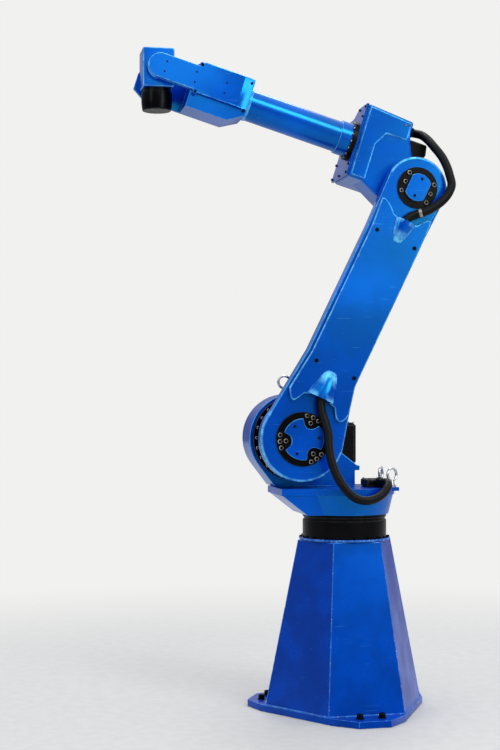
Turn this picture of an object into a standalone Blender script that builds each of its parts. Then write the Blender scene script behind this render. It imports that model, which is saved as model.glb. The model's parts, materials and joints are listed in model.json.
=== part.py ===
# Six-axis articulated industrial robot arm on a welded six-sided pedestal.
# Metres, +Z up. +X is the robot's forward direction, +Y its left side, where the upper arm hangs.
# The origin is the centre of the pedestal on the floor, on the waist axis.

import math

import bmesh
import bpy
from mathutils import Matrix, Vector

# Joint centres and rest angles
shoulderForward = 0.166
upperArmLength = 0.905
upperArmLean = math.radians(115.1)
forearmPitch = math.radians(17.3)
forearmOffset = 0.100
wristReach = 0.914

# Shared small clearances
seatGap = 0.0003
cutOverrun = 0.02

# Pedestal
pedestalFlangeThick = 0.022
pedestalTurn = math.radians(3.5)
pedestalFlangeEarReach = 0.2520
pedestalFlangeFlushReach = 0.2320
pedestalEarProjection = 0.066
pedestalEarFlat = 0.106
pedestalFootEarReach = 0.2351
pedestalFootFlushReach = 0.2270
pedestalHeadReach = 0.1375
pedestalHeight = 0.559
pedestalCapRadius = 0.150
pedestalCapThick = 0.007

# Waist gearbox ring
waistRingRadius = 0.138
waistRingHeight = 0.078
waistRingGroove = 0.004
waistRingLip = 0.010

# Turntable
turntableFootRadius = 0.145
turntableRadius = 0.165
turntableHeight = 0.086
turntablePlateThick = 0.022
turntablePlateOverhang = 0.004
turntableNoseLip = 0.007
turntableNoseHalfWidth = 0.115
turntableTabReach = 0.168
turntableTabHalfWidth = 0.070
turntableTabThick = 0.012

# Shoulder casting, on the right of the arm
drumRadius = 0.146
drumFloorClear = 0.014
drumFarFace = -0.170
drumNearFace = -0.034
drumFootAhead = 0.062
motorShelfReach = 0.228
motorShelfHeight = 0.068
motorShelfThick = 0.016
motorColumnSetback = 0.016
shelfSlopeTop = 0.126
webNearFace = -0.034
webFarFace = -0.062
shoulderMotorRadius = 0.062
shoulderMotorLength = 0.120
shoulderMotorFlange = 0.016

# Shoulder gearbox ring between casting and arm
shoulderRingRadius = 0.138
shoulderRingFlangeFace = -0.006
shoulderRingNeckRadius = 0.120
shoulderRingNearFace = 0.058

# Waist motor, standing behind the shoulder
waistMotorSetback = 0.002
waistMotorDepth = 0.062
waistMotorNearFace = -0.068
waistMotorWidth = 0.090
waistMotorHeight = 0.142
waistMotorChamfer = 0.010

# Cable entry box on the turntable's rear
entryBoxFront = -0.062
entryBoxRear = -0.128
entryBoxNearFace = 0.060
entryBoxFarFace = -0.030
entryBoxHeight = 0.026

# Lifting eyes
eyeRingRadius = 0.0205
eyeWireRadius = 0.0045
eyeStemRadius = 0.009
eyeCollarRadius = 0.013
eyeCollarHeight = 0.006
eyeStemHeight = 0.018
rearEyeInner = (-0.139, -0.050)
rearEyeOuter = (-0.153, 0.036)
drumEyeAhead = 0.015
drumEyeTurn = math.radians(0.0)
rearEyeInnerTurn = math.radians(60.0)
rearEyeOuterTurn = math.radians(30.0)

# Upper arm casting
armFootRadius = 0.139
armHeadRadius = 0.104
armFootBack = 0.068
armHeadBack = 0.064
armFrontFace = 0.112
armWaistFront = -0.106
armNeckFront = -0.099
armFootRear = 0.087
armNeckRear = 0.094
armWaistShares = (0.30, 0.80)
armNeckShares = (0.25, 0.80)
armFootHubRadius = 0.112
armHeadHubRadius = 0.088
armEdgeRound = 0.010

# Upper arm cover
coverThick = 0.016
coverEdgeInset = 0.011
coverRearInset = 0.003
coverEdgeRound = 0.006
coverFootShares = (
    (0.97, 0.742),
    (0.80, 0.710),
    (0.70, 0.610),
    (0.76, 0.480),
    (1.03, 0.320),
    (1.03, -0.400),
    (0.80, -0.520),
    (0.71, -0.590),
    (0.75, -0.700),
    (0.95, -0.810),
)
coverHeadShares = (
    (-0.82, -0.910),
    (-0.75, -0.840),
    (-0.88, -0.566),
    (-1.16, -0.290),
    (-1.16, 0.440),
    (-0.94, 0.580),
    (-0.75, 0.776),
    (-0.82, 0.860),
)
footHoodShares = (1.03, 1.70, -0.045)
headHoodShares = (1.16, 1.88, 0.075)
hoodHalfShare = 0.330
hoodPocketShare = 0.80
hoodRise = 0.0235
hoodCrownWall = 0.005
hoodPocket = 0.022
hoodTaperShares = (0.0, 0.20, 0.45, 0.70, 0.86, 0.96, 1.0)
hoodWidthShares = (1.0, 0.92, 0.78, 0.63, 0.51, 0.38, 0.22)
hoodLiftShares = (1.0, 0.96, 0.82, 0.60, 0.38, 0.17, 0.05)

# Round caps on the arm's two hubs
footCapRadius = 0.088
footCapThick = 0.005
footHubCapRadius = 0.067
footHubCapThick = 0.010
footBiteRadius = 0.024
footBiteReach = 0.062
headCapRadius = 0.068
headCapThick = 0.005
headHubCapRadius = 0.045
headHubCapThick = 0.010
headBiteReach = 0.034

# Elbow casting
elbowFrontReach = 0.228
elbowTop = 0.231
elbowRearTop = 0.221
elbowFarTop = 0.199
elbowRearReach = 0.056
elbowUnderFront = -0.021
elbowUnderReach = 0.170
elbowNearFace = 0.050
elbowStepFace = -0.078
elbowFarFace = -0.160
elbowDrumRadius = 0.098
elbowDrumFarFace = -0.120
elbowEdgeRound = 0.007
elbowPadRise = 0.007
elbowColumnWidth = 0.058
elbowPadDrop = 0.068
elbowRingRadius = 0.096
elbowRingNearFace = 0.058
elbowPlateThick = 0.008
elbowPlateInset = 0.002

# Forearm roll bearing ring
rollRingRadius = 0.066
rollRingLength = 0.016

# Motors behind the elbow casting
elbowMotorRadius = 0.050
elbowMotorLength = 0.080
rollMotorSize = 0.082
rollMotorLength = 0.076
rollMotorNearFace = 0.020

# Forearm tube
tubeRadius = 0.0515
tubeFlangeRadius = 0.0565
tubeFlangeLength = 0.038
tubeCollarRadius = 0.054
tubeCollarLength = 0.010

# Wrist housing
housingLength = 0.194
forkDepth = 0.114
housingTop = 0.058
housingUnder = -0.086
housingHalfWidth = 0.070
forkHalfGap = 0.0555
forkFarTipReach = 0.054
forkNearRadius = 0.040
forkFarRadius = 0.052
housingEdgeRound = 0.004
wristCoverThick = 0.016
wristCoverRise = 0.010
wristCoverWide = 0.052
wristCoverWideRise = 0.005
wristCoverSlope = 0.038
wristCoverLip = 0.004

# Wrist block and tool flange
blockFront = 0.051
blockRear = 0.052
blockTop = 0.074
blockUnder = 0.053
blockHalfWidth = 0.0505
blockRound = 0.006
pivotBossRadius = 0.029
flangeRadius = 0.050
flangeLength = 0.071
flangeCollarLength = 0.012
flangeFaceRadius = 0.045

# Hoses
hoseRadius = 0.0145
# Routes of the hoses, the first from the shoulder joint and the second from the elbow joint
shoulderHoseRoute = [
    (-0.0680, 0.1290, 0.1501),
    (-0.0588, 0.1290, 0.1305),
    (-0.0565, 0.1300, 0.1110),
    (-0.0595, 0.1350, 0.0830),
    (-0.0675, 0.1440, 0.0530),
    (-0.0750, 0.1530, 0.0160),
    (-0.0750, 0.1610, -0.0210),
    (-0.0800, 0.1680, -0.0610),
    (-0.0900, 0.1730, -0.0960),
    (-0.1070, 0.1800, -0.1330),
    (-0.1290, 0.1860, -0.1640),
    (-0.1570, 0.1880, -0.1870),
    (-0.1910, 0.1850, -0.1950),
    (-0.2230, 0.1780, -0.1900),
    (-0.2500, 0.1680, -0.1760),
    (-0.2700, 0.1530, -0.1550),
    (-0.2760, 0.1290, -0.1420),
    (-0.2730, 0.1000, -0.1425),
    (-0.2700, 0.0800, -0.1442),
    (-0.2700, 0.0606, -0.1445),
]
elbowHoseRoute = [
    (0.0533, 0.1290, -0.1321),
    (0.0441, 0.1290, -0.1126),
    (0.0299, 0.1310, -0.0985),
    (0.0134, 0.1350, -0.0905),
    (-0.0041, 0.1410, -0.0855),
    (-0.0221, 0.1460, -0.0795),
    (-0.0461, 0.1500, -0.0665),
    (-0.0741, 0.1490, -0.0455),
    (-0.0961, 0.1440, -0.0205),
    (-0.1091, 0.1380, 0.0095),
    (-0.1050, 0.1300, 0.0425),
    (-0.0990, 0.1180, 0.0735),
    (-0.0880, 0.0980, 0.1085),
    (-0.0720, 0.0700, 0.1425),
    (-0.0590, 0.0350, 0.1735),
    (-0.0450, 0.0060, 0.1930),
    (-0.02418, -0.0150, 0.20205),
    (-0.00661, -0.0150, 0.20752),
]

housingShoulder = wristReach - forkDepth
housingRear = housingShoulder - housingLength
forkFarTip = wristReach + forkFarTipReach
capTop = pedestalHeight + pedestalCapThick
ringTop = capTop + waistRingHeight
turntableTop = ringTop + turntableHeight
shoulderHeight = turntableTop + drumFloorClear + drumRadius
shoulderAt = Vector((shoulderForward, 0.0, shoulderHeight))
drumFootFront = shoulderForward + drumFootAhead
turntableNoseReach = drumFootFront + turntableNoseLip
motorShelfRear = shoulderForward - motorShelfReach
motorColumnRear = motorShelfRear + motorColumnSetback
waistMotorRear = motorShelfRear + waistMotorSetback


def clearScene():
    for item in list(bpy.data.objects):
        bpy.data.objects.remove(item, do_unlink=True)


def makeMaterial(name, color, roughness, metallic):
    material = bpy.data.materials.new(name)
    material.use_nodes = True
    shader = material.node_tree.nodes["Principled BSDF"]
    shader.inputs["Base Color"].default_value = (*color, 1.0)
    shader.inputs["Roughness"].default_value = roughness
    shader.inputs["Metallic"].default_value = metallic
    material.diffuse_color = (*color, 1.0)
    return material


def makeEmpty(name, location, pitch, parent):
    # Local X runs along the limb, local Y across the robot, local Z up from the limb
    empty = bpy.data.objects.new(name, None)
    bpy.context.collection.objects.link(empty)
    empty.matrix_world = Matrix.Translation(location) @ Matrix.Rotation(-pitch, 4, "Y")
    if parent is not None:
        world = empty.matrix_world.copy()
        empty.parent = parent
        empty.matrix_parent_inverse = parent.matrix_world.inverted()
        empty.matrix_world = world
    bpy.context.view_layer.update()
    return empty


def finishObject(name, builder, holder, material, smooth=True):
    # Turns a bmesh in the holder's local frame into a named object with its origin on the joint
    bmesh.ops.recalc_face_normals(builder, faces=builder.faces[:])
    mesh = bpy.data.meshes.new(name)
    builder.to_mesh(mesh)
    builder.free()
    item = bpy.data.objects.new(name, mesh)
    bpy.context.collection.objects.link(item)
    item.parent = holder
    if material is not None:
        mesh.materials.append(material)
    if smooth:
        mesh.shade_smooth()
        mesh.set_sharp_from_angle(angle=math.radians(32.0))
    return item


def ringPoints(radius, count, start=0.0):
    step = math.tau / count
    return [(radius * math.cos(start + step * i), radius * math.sin(start + step * i)) for i in range(count)]


def arcPoints(center, radius, startDegrees, endDegrees, count):
    points = []
    for i in range(count):
        angle = math.radians(startDegrees + (endDegrees - startDegrees) * i / (count - 1))
        points.append((center[0] + radius * math.cos(angle), center[1] + radius * math.sin(angle)))
    return points


def loftSections(sections):
    # Sections are equal-length loops of 3-D points; the ends are capped
    builder = bmesh.new()
    loops = [[builder.verts.new(point) for point in section] for section in sections]
    count = len(loops[0])
    for lower, upper in zip(loops[:-1], loops[1:]):
        for i in range(count):
            builder.faces.new((lower[i], lower[(i + 1) % count], upper[(i + 1) % count], upper[i]))
    builder.faces.new(loops[0][::-1])
    builder.faces.new(loops[-1])
    return builder


def sideProfile(outline, farFace, nearFace):
    # An outline in the limb's own plane, carried across the robot
    far = [(x, farFace, z) for x, z in outline]
    near = [(x, nearFace, z) for x, z in outline]
    return loftSections([far, near])


def turnedProfile(profile, axis, segments):
    # Profile pairs are (place along the axis, radius); the axis is one of X, Y, Z
    sections = []
    for along, radius in profile:
        loop = []
        for a, b in ringPoints(radius, segments):
            if axis == "X":
                loop.append((along, a, b))
            elif axis == "Y":
                loop.append((a, along, b))
            else:
                loop.append((a, b, along))
        sections.append(loop)
    return loftSections(sections)


def boxBetween(low, high):
    corners = [(low[0], low[1]), (high[0], low[1]), (high[0], high[1]), (low[0], high[1])]
    return loftSections([[(x, y, low[2]) for x, y in corners], [(x, y, high[2]) for x, y in corners]])


def moveBuilder(builder, offset):
    bmesh.ops.translate(builder, verts=builder.verts[:], vec=Vector(offset))
    return builder


def addBevel(item, width, segments=2, angle=40.0):
    bevel = item.modifiers.new("Rounded edges", "BEVEL")
    bevel.width = width
    bevel.segments = segments
    bevel.limit_method = "ANGLE"
    bevel.angle_limit = math.radians(angle)
    bevel.use_clamp_overlap = True
    return bevel


def addBoolean(item, tool, operation):
    tool.hide_render = True
    tool.display_type = "WIRE"
    step = item.modifiers.new(operation.title(), "BOOLEAN")
    step.operation = operation
    step.object = tool
    step.solver = "EXACT"
    return step


def hexagon(earReach, flushReach, height):
    # Faces with ears look along +Y, a little turned, and 120 degrees to each side; flush ones between
    points = []
    for i in range(6):
        normalAngle = math.radians(90.0 + 60.0 * i) + pedestalTurn
        here = earReach if i % 2 == 0 else flushReach
        after = flushReach if i % 2 == 0 else earReach
        sideways = (after - here * math.cos(math.pi / 3.0)) / math.sin(math.pi / 3.0)
        normal = Vector((math.cos(normalAngle), math.sin(normalAngle)))
        tangent = Vector((-normal.y, normal.x))
        corner = normal * here + tangent * sideways
        points.append((corner.x, corner.y, height))
    return points


def buildPedestal(paint):
    # Foot flange: six sides, with a bolt ear on every other side
    corners = hexagon(pedestalFlangeEarReach, pedestalFlangeFlushReach, 0.0)
    outline = []
    for i in range(6):
        outline.append((corners[i - 1][0], corners[i - 1][1]))
        if i % 2 == 0:
            normalAngle = math.radians(90.0 + 60.0 * i) + pedestalTurn
            normal = Vector((math.cos(normalAngle), math.sin(normalAngle)))
            tangent = Vector((-normal.y, normal.x))
            for side in (-1.0, 1.0):
                reach = normal * (pedestalFlangeEarReach + pedestalEarProjection)
                point = reach + tangent * side * pedestalEarFlat / 2.0
                outline.append((point.x, point.y))
    builder = loftSections(
        [[(x, y, 0.0) for x, y in outline], [(x, y, pedestalFlangeThick) for x, y in outline]]
    )
    flange = finishObject("pedestal_flange", builder, None, paint, smooth=False)

    # Tapered body, welded from six plates
    foot = hexagon(pedestalFootEarReach, pedestalFootFlushReach, pedestalFlangeThick + seatGap)
    head = hexagon(pedestalHeadReach, pedestalHeadReach, pedestalHeight - seatGap)
    body = finishObject("pedestal_body", loftSections([foot, head]), None, paint, smooth=False)
    addBevel(body, seatGap * 8.0, 1, 20.0)

    # Round machined top plate
    profile = [(pedestalHeight, pedestalCapRadius), (capTop, pedestalCapRadius)]
    finishObject("pedestal_top_plate", turnedProfile(profile, "Z", 48), None, paint)


def buildWaistRing(black):
    low = capTop + seatGap
    high = ringTop - seatGap
    neck = waistRingRadius - waistRingGroove
    profile = [
        (low, waistRingRadius),
        (high - waistRingLip * 2.0, waistRingRadius),
        (high - waistRingLip * 2.0, neck),
        (high - waistRingLip, neck),
        (high - waistRingLip, waistRingRadius),
        (high, waistRingRadius),
    ]
    finishObject("waist_gearbox_ring", turnedProfile(profile, "Z", 48), None, black)


def turntableRadiusAt(angle, noseReach, noseHalfWidth, radius):
    # Round at the back, squared off towards the nose
    cosine = math.cos(angle)
    sine = abs(math.sin(angle))
    reach = radius
    if cosine > 0.0:
        front = noseReach / cosine
        side = noseHalfWidth / sine if sine > 1e-9 else front
        reach = max(radius, min(front, side))
    return reach


def turntableLoop(noseReach, noseHalfWidth, radius, height, count=64):
    # Angles are spread evenly, with the nose corners and shoulders kept exactly
    corner = math.atan2(noseHalfWidth, noseReach)
    shoulder = math.asin(noseHalfWidth / radius)
    quarter = []
    quarter += [corner * i / 3.0 for i in range(3)]
    quarter += [corner + (shoulder - corner) * i / 6.0 for i in range(6)]
    quarter += [shoulder + (math.pi - shoulder) * i / 22.0 for i in range(23)]
    angles = quarter + [-a for a in quarter[-2:0:-1]]
    loop = []
    for angle in angles:
        reach = turntableRadiusAt(angle, noseReach, noseHalfWidth, radius)
        loop.append((reach * math.cos(angle), reach * math.sin(angle), height))
    return loop


def buildTurntable(holder, paint):
    # Heights are measured from the shoulder's own waist frame, whose origin is on the floor
    foot = ringTop
    plateUnder = turntableTop - turntablePlateThick
    inner = turntableRadius - turntablePlateOverhang
    innerHalf = turntableNoseHalfWidth - turntablePlateOverhang
    noseFoot = turntableFootRadius + turntablePlateOverhang
    sections = [
        turntableLoop(noseFoot, innerHalf, turntableFootRadius, foot),
        turntableLoop(turntableNoseReach - turntablePlateOverhang, innerHalf, inner, plateUnder),
        turntableLoop(turntableNoseReach, turntableNoseHalfWidth, turntableRadius, plateUnder),
        turntableLoop(turntableNoseReach, turntableNoseHalfWidth, turntableRadius, turntableTop),
    ]
    table = finishObject("turntable", loftSections(sections), holder, paint)
    low = (-turntableTabReach, -turntableTabHalfWidth, turntableTop - turntableTabThick)
    high = (-turntableRadius / 2.0, turntableTabHalfWidth, turntableTop - seatGap)
    tab = finishObject("turntable_tab_shape", boxBetween(low, high), holder, paint)
    addBoolean(table, tab, "UNION")


def buildShoulderCasting(holder, paint):
    # Outline seen from the side: drum round the shoulder axis, straight nose, motor shelf at the back
    base = turntableTop + seatGap
    cx, cz = shoulderForward, shoulderHeight
    frontDistance = math.hypot(drumFootFront - cx, base - cz)
    footAngle = math.atan2(base - cz, drumFootFront - cx)
    tangentAngle = math.degrees(footAngle + math.acos(drumRadius / frontDistance))
    shelfTop = turntableTop + motorShelfHeight
    outline = [(drumFootFront, base)]
    outline += arcPoints((cx, cz), drumRadius, tangentAngle, 180.0, 40)
    outline += [
        (cx - drumRadius, shelfTop),
        (motorShelfRear, shelfTop),
        (motorShelfRear, shelfTop - motorShelfThick),
        (motorColumnRear, shelfTop - motorShelfThick),
        (motorColumnRear, base),
    ]
    builder = sideProfile(outline, drumFarFace, drumNearFace)
    casting = finishObject("shoulder_casting", builder, holder, paint)
    # Web that slopes from the drum down to the shelf on the arm side
    web = [
        (cx - drumRadius + cutOverrun, shelfTop - motorShelfThick / 2.0),
        (cx - drumRadius + cutOverrun, turntableTop + shelfSlopeTop),
        (cx - drumRadius, turntableTop + shelfSlopeTop),
        (motorShelfRear + motorShelfThick / 2.0, shelfTop),
        (motorShelfRear + motorShelfThick / 2.0, shelfTop - motorShelfThick / 2.0),
    ]
    rib = finishObject("shoulder_web_shape", sideProfile(web, webFarFace, webNearFace), holder, paint)
    addBoolean(casting, rib, "UNION")


def buildShoulderRing(holder, black):
    # Bolted flange on the drum, then the neck that carries the arm
    low = drumNearFace + seatGap
    profile = [
        (low, shoulderRingRadius),
        (shoulderRingFlangeFace, shoulderRingRadius),
        (shoulderRingFlangeFace, shoulderRingNeckRadius),
        (shoulderRingNearFace, shoulderRingNeckRadius),
    ]
    builder = moveBuilder(turnedProfile(profile, "Y", 48), (shoulderForward, 0.0, shoulderHeight))
    finishObject("shoulder_gearbox_ring", builder, holder, black)


def buildShoulderMotor(holder, paint, black):
    # Cover plate and motor on the drum's far side
    high = drumFarFace - seatGap
    low = high - shoulderMotorFlange
    profile = [(low, drumRadius * 0.80), (high, drumRadius * 0.80)]
    builder = moveBuilder(turnedProfile(profile, "Y", 48), (shoulderForward, 0.0, shoulderHeight))
    finishObject("shoulder_motor_plate", builder, holder, paint)
    top = low - seatGap
    back = top - shoulderMotorLength
    profile = [
        (back, shoulderMotorRadius * 0.86),
        (back + shoulderMotorLength * 0.06, shoulderMotorRadius * 0.94),
        (top - shoulderMotorLength * 0.12, shoulderMotorRadius * 0.94),
        (top - shoulderMotorLength * 0.12, shoulderMotorRadius),
        (top, shoulderMotorRadius),
    ]
    builder = moveBuilder(turnedProfile(profile, "Y", 32), (shoulderForward, 0.0, shoulderHeight))
    finishObject("shoulder_motor", builder, holder, black)


def buildWaistMotor(holder, black):
    low = turntableTop + motorShelfHeight + seatGap
    high = low + waistMotorHeight
    rear = waistMotorRear
    front = waistMotorRear + waistMotorDepth
    near = waistMotorNearFace
    far = waistMotorNearFace - waistMotorWidth
    item = finishObject("waist_motor", boxBetween((rear, far, low), (front, near, high)), holder, black)
    addBevel(item, waistMotorChamfer, 1)


def buildEntryBox(holder, black):
    low = turntableTop + seatGap
    high = low + entryBoxHeight
    builder = boxBetween((entryBoxRear, entryBoxFarFace, low), (entryBoxFront, entryBoxNearFace, high))
    item = finishObject("cable_entry_box", builder, holder, black)
    addBevel(item, entryBoxHeight / 4.0, 2)


def buildEye(name, place, foot, turn, holder, steel):
    # Forged lifting eye: collar, short stem and ring, one body
    rings = 20
    sides = 8
    stemTop = foot + eyeCollarHeight + eyeStemHeight
    collar = turnedProfile(
        [
            (foot, eyeCollarRadius),
            (foot + eyeCollarHeight, eyeCollarRadius),
            (foot + eyeCollarHeight, eyeStemRadius),
            (stemTop, eyeStemRadius * 0.7),
        ],
        "Z",
        20,
    )
    stem = finishObject(name, moveBuilder(collar, (place[0], place[1], 0.0)), holder, steel)
    ring = bmesh.new()
    centre = stemTop + eyeRingRadius - eyeWireRadius
    loops = []
    for i in range(rings):
        angle = math.tau * i / rings
        outward = Vector((math.cos(angle), 0.0, math.sin(angle)))
        loop = []
        for j in range(sides):
            around = math.tau * j / sides
            reach = eyeRingRadius + eyeWireRadius * math.cos(around)
            aside = Vector((0.0, eyeWireRadius * math.sin(around), 0.0))
            loop.append(ring.verts.new(outward * reach + aside))
        loops.append(loop)
    for i in range(rings):
        after = loops[(i + 1) % rings]
        for j in range(sides):
            k = (j + 1) % sides
            ring.faces.new((loops[i][j], loops[i][k], after[k], after[j]))
    bmesh.ops.rotate(ring, verts=ring.verts[:], cent=(0.0, 0.0, 0.0), matrix=Matrix.Rotation(turn, 3, "Z"))
    moveBuilder(ring, (place[0], place[1], centre))
    hoop = finishObject(name + "_hoop_shape", ring, holder, steel)
    addBoolean(stem, hoop, "UNION")


def armOutline():
    # Side view of the upper arm, from foot hub to head hub
    length = upperArmLength
    frontTurn = math.degrees(math.asin(min(1.0, -armWaistFront / armFootRadius)))
    outline = arcPoints((0.0, 0.0), armFootRadius, 74.0, 270.0 + (90.0 - frontTurn) * 0.45, 36)
    outline += [(length * armWaistShares[0], armWaistFront), (length * armWaistShares[1], armNeckFront)]
    outline += arcPoints((length, 0.0), armHeadRadius, -86.0, 80.0, 26)
    outline += [(length * armNeckShares[1], armNeckRear), (length * armNeckShares[0], armFootRear)]
    return outline


def armBackAt(along):
    # The arm's back leans outward from the foot to the head
    return armFootBack + (armHeadBack - armFootBack) * along / upperArmLength


def buildUpperArm(holder, paint):
    outline = armOutline()
    far = [(x, armBackAt(x), z) for x, z in outline]
    near = [(x, armFrontFace, z) for x, z in outline]
    arm = finishObject("upper_arm_casting", loftSections([far, near]), holder, paint)
    addBevel(arm, armEdgeRound, 2, 50.0)
    # Round hubs on the back, each running against its gearbox ring
    for name, place, radius, face in (
        ("arm_foot_hub_shape", 0.0, armFootHubRadius, shoulderRingNearFace + seatGap),
        ("arm_head_hub_shape", upperArmLength, armHeadHubRadius, elbowRingNearFace + seatGap),
    ):
        inner = (armBackAt(place) + armFrontFace) / 2.0
        builder = turnedProfile([(face, radius), (inner, radius)], "Y", 48)
        hub = finishObject(name, moveBuilder(builder, (place, 0.0, 0.0)), holder, paint)
        addBoolean(arm, hub, "UNION")


def softened(points):
    # One pass of corner cutting, the ends kept
    result = [points[0]]
    for (ax, ay), (bx, by) in zip(points[:-1], points[1:]):
        result.append((ax * 0.75 + bx * 0.25, ay * 0.75 + by * 0.25))
        result.append((ax * 0.25 + bx * 0.75, ay * 0.25 + by * 0.75))
    result.append(points[-1])
    return result


def coverOutline():
    # Cover on the beam: lobes reach round each hub on both sides of its hood
    length = upperArmLength
    foot = [(armFootRadius * x, armFootRadius * z) for x, z in coverFootShares]
    head = [(length + armHeadRadius * x, armHeadRadius * z) for x, z in coverHeadShares]
    outline = [(length * armNeckShares[0], armFootRear - coverRearInset)]
    outline += softened(foot)
    outline += [(length * armWaistShares[0], armWaistFront + coverEdgeInset)]
    outline += [(length * armWaistShares[1], armNeckFront + coverEdgeInset)]
    outline += softened(head)
    outline += [(length * armNeckShares[1], armNeckRear - coverRearInset)]
    return outline


def halfRound(along, low, middle, side, half, lift, steps):
    # Arch over a flat foot: its crown is lifted from the middle plane
    loop = []
    for i in range(steps + 1):
        angle = math.pi * i / steps
        loop.append((along, middle + lift * math.sin(angle), side + half * math.cos(angle)))
    loop.append((along, low, side - half))
    loop.append((along, low, side + half))
    return loop


def buildArmCover(holder, paint):
    low = armFrontFace + seatGap
    high = low + coverThick
    cover = finishObject("upper_arm_cover", sideProfile(coverOutline(), low, high), holder, paint)
    addBevel(cover, coverEdgeRound, 2, 50.0)
    middle = high - coverThick / 2.0
    crown = high + hoodRise - hoodCrownWall - middle
    for name, shares, pivot, radius, turn in (
        ("foot_hood", footHoodShares, 0.0, armFootRadius, 1.0),
        ("head_hood", headHoodShares, upperArmLength, armHeadRadius, -1.0),
    ):
        mouthAt = pivot + turn * radius * shares[0]
        tipAt = pivot + turn * radius * shares[1]
        side = radius * shares[2]
        half = radius * hoodHalfShare
        outer = []
        for share, width, lift in zip(hoodTaperShares, hoodWidthShares, hoodLiftShares):
            along = mouthAt + (tipAt - mouthAt) * share
            outer.append(halfRound(along, middle, high, side, half * width, hoodRise * lift, 14))
        shell = finishObject(name + "_shape", loftSections(outer), holder, paint)
        addBoolean(cover, shell, "UNION")
        # Pocket for the hose, open at the mouth and closed at its inner end
        passage = []
        for along in (mouthAt - turn * hoodPocket, mouthAt + turn * hoodPocket):
            arch = halfRound(along, low - cutOverrun, middle, side, half * hoodPocketShare, crown, 12)
            passage.append(arch)
        cutter = finishObject(name + "_pocket", loftSections(passage), holder, None)
        addBoolean(cover, cutter, "DIFFERENCE")


def buildCaps(holder, paint, black):
    # Foot hub: black ring with a blue lobed cap; head hub: the same, smaller
    face = armFrontFace + seatGap
    profile = [(face, footCapRadius), (face + footCapThick, footCapRadius)]
    finishObject("shoulder_hub_ring", turnedProfile(profile, "Y", 48), holder, black)
    low = face + footCapThick + seatGap
    outline = []
    for i in range(72):
        angle = math.tau * i / 72
        reach = footHubCapRadius
        for bite in range(3):
            # The rim steps in round each group of bolts
            centre = math.tau * bite / 3.0
            cosine = footBiteReach * math.cos(angle - centre)
            inside = footBiteRadius ** 2 - footBiteReach ** 2 + cosine ** 2
            if inside > 0.0 and cosine > 0.0:
                reach = min(reach, cosine - math.sqrt(inside))
        outline.append((reach * math.cos(angle), reach * math.sin(angle)))
    finishObject("shoulder_hub_cap", sideProfile(outline, low, low + footHubCapThick), holder, paint)

    builder = turnedProfile([(face, headCapRadius), (face + headCapThick, headCapRadius)], "Y", 40)
    finishObject("elbow_hub_ring", moveBuilder(builder, (upperArmLength, 0.0, 0.0)), holder, black)
    low = face + headCapThick + seatGap
    flat = math.acos(headBiteReach / headHubCapRadius)
    side = math.degrees(math.pi / 2.0 - flat)
    ends = arcPoints((0.0, 0.0), headHubCapRadius, -side, side, 14)
    ends += arcPoints((0.0, 0.0), headHubCapRadius, 180.0 - side, 180.0 + side, 14)
    outline = [(upperArmLength + x, z) for x, z in ends]
    finishObject("elbow_hub_cap", sideProfile(outline, low, low + headHubCapThick), holder, paint)


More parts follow.
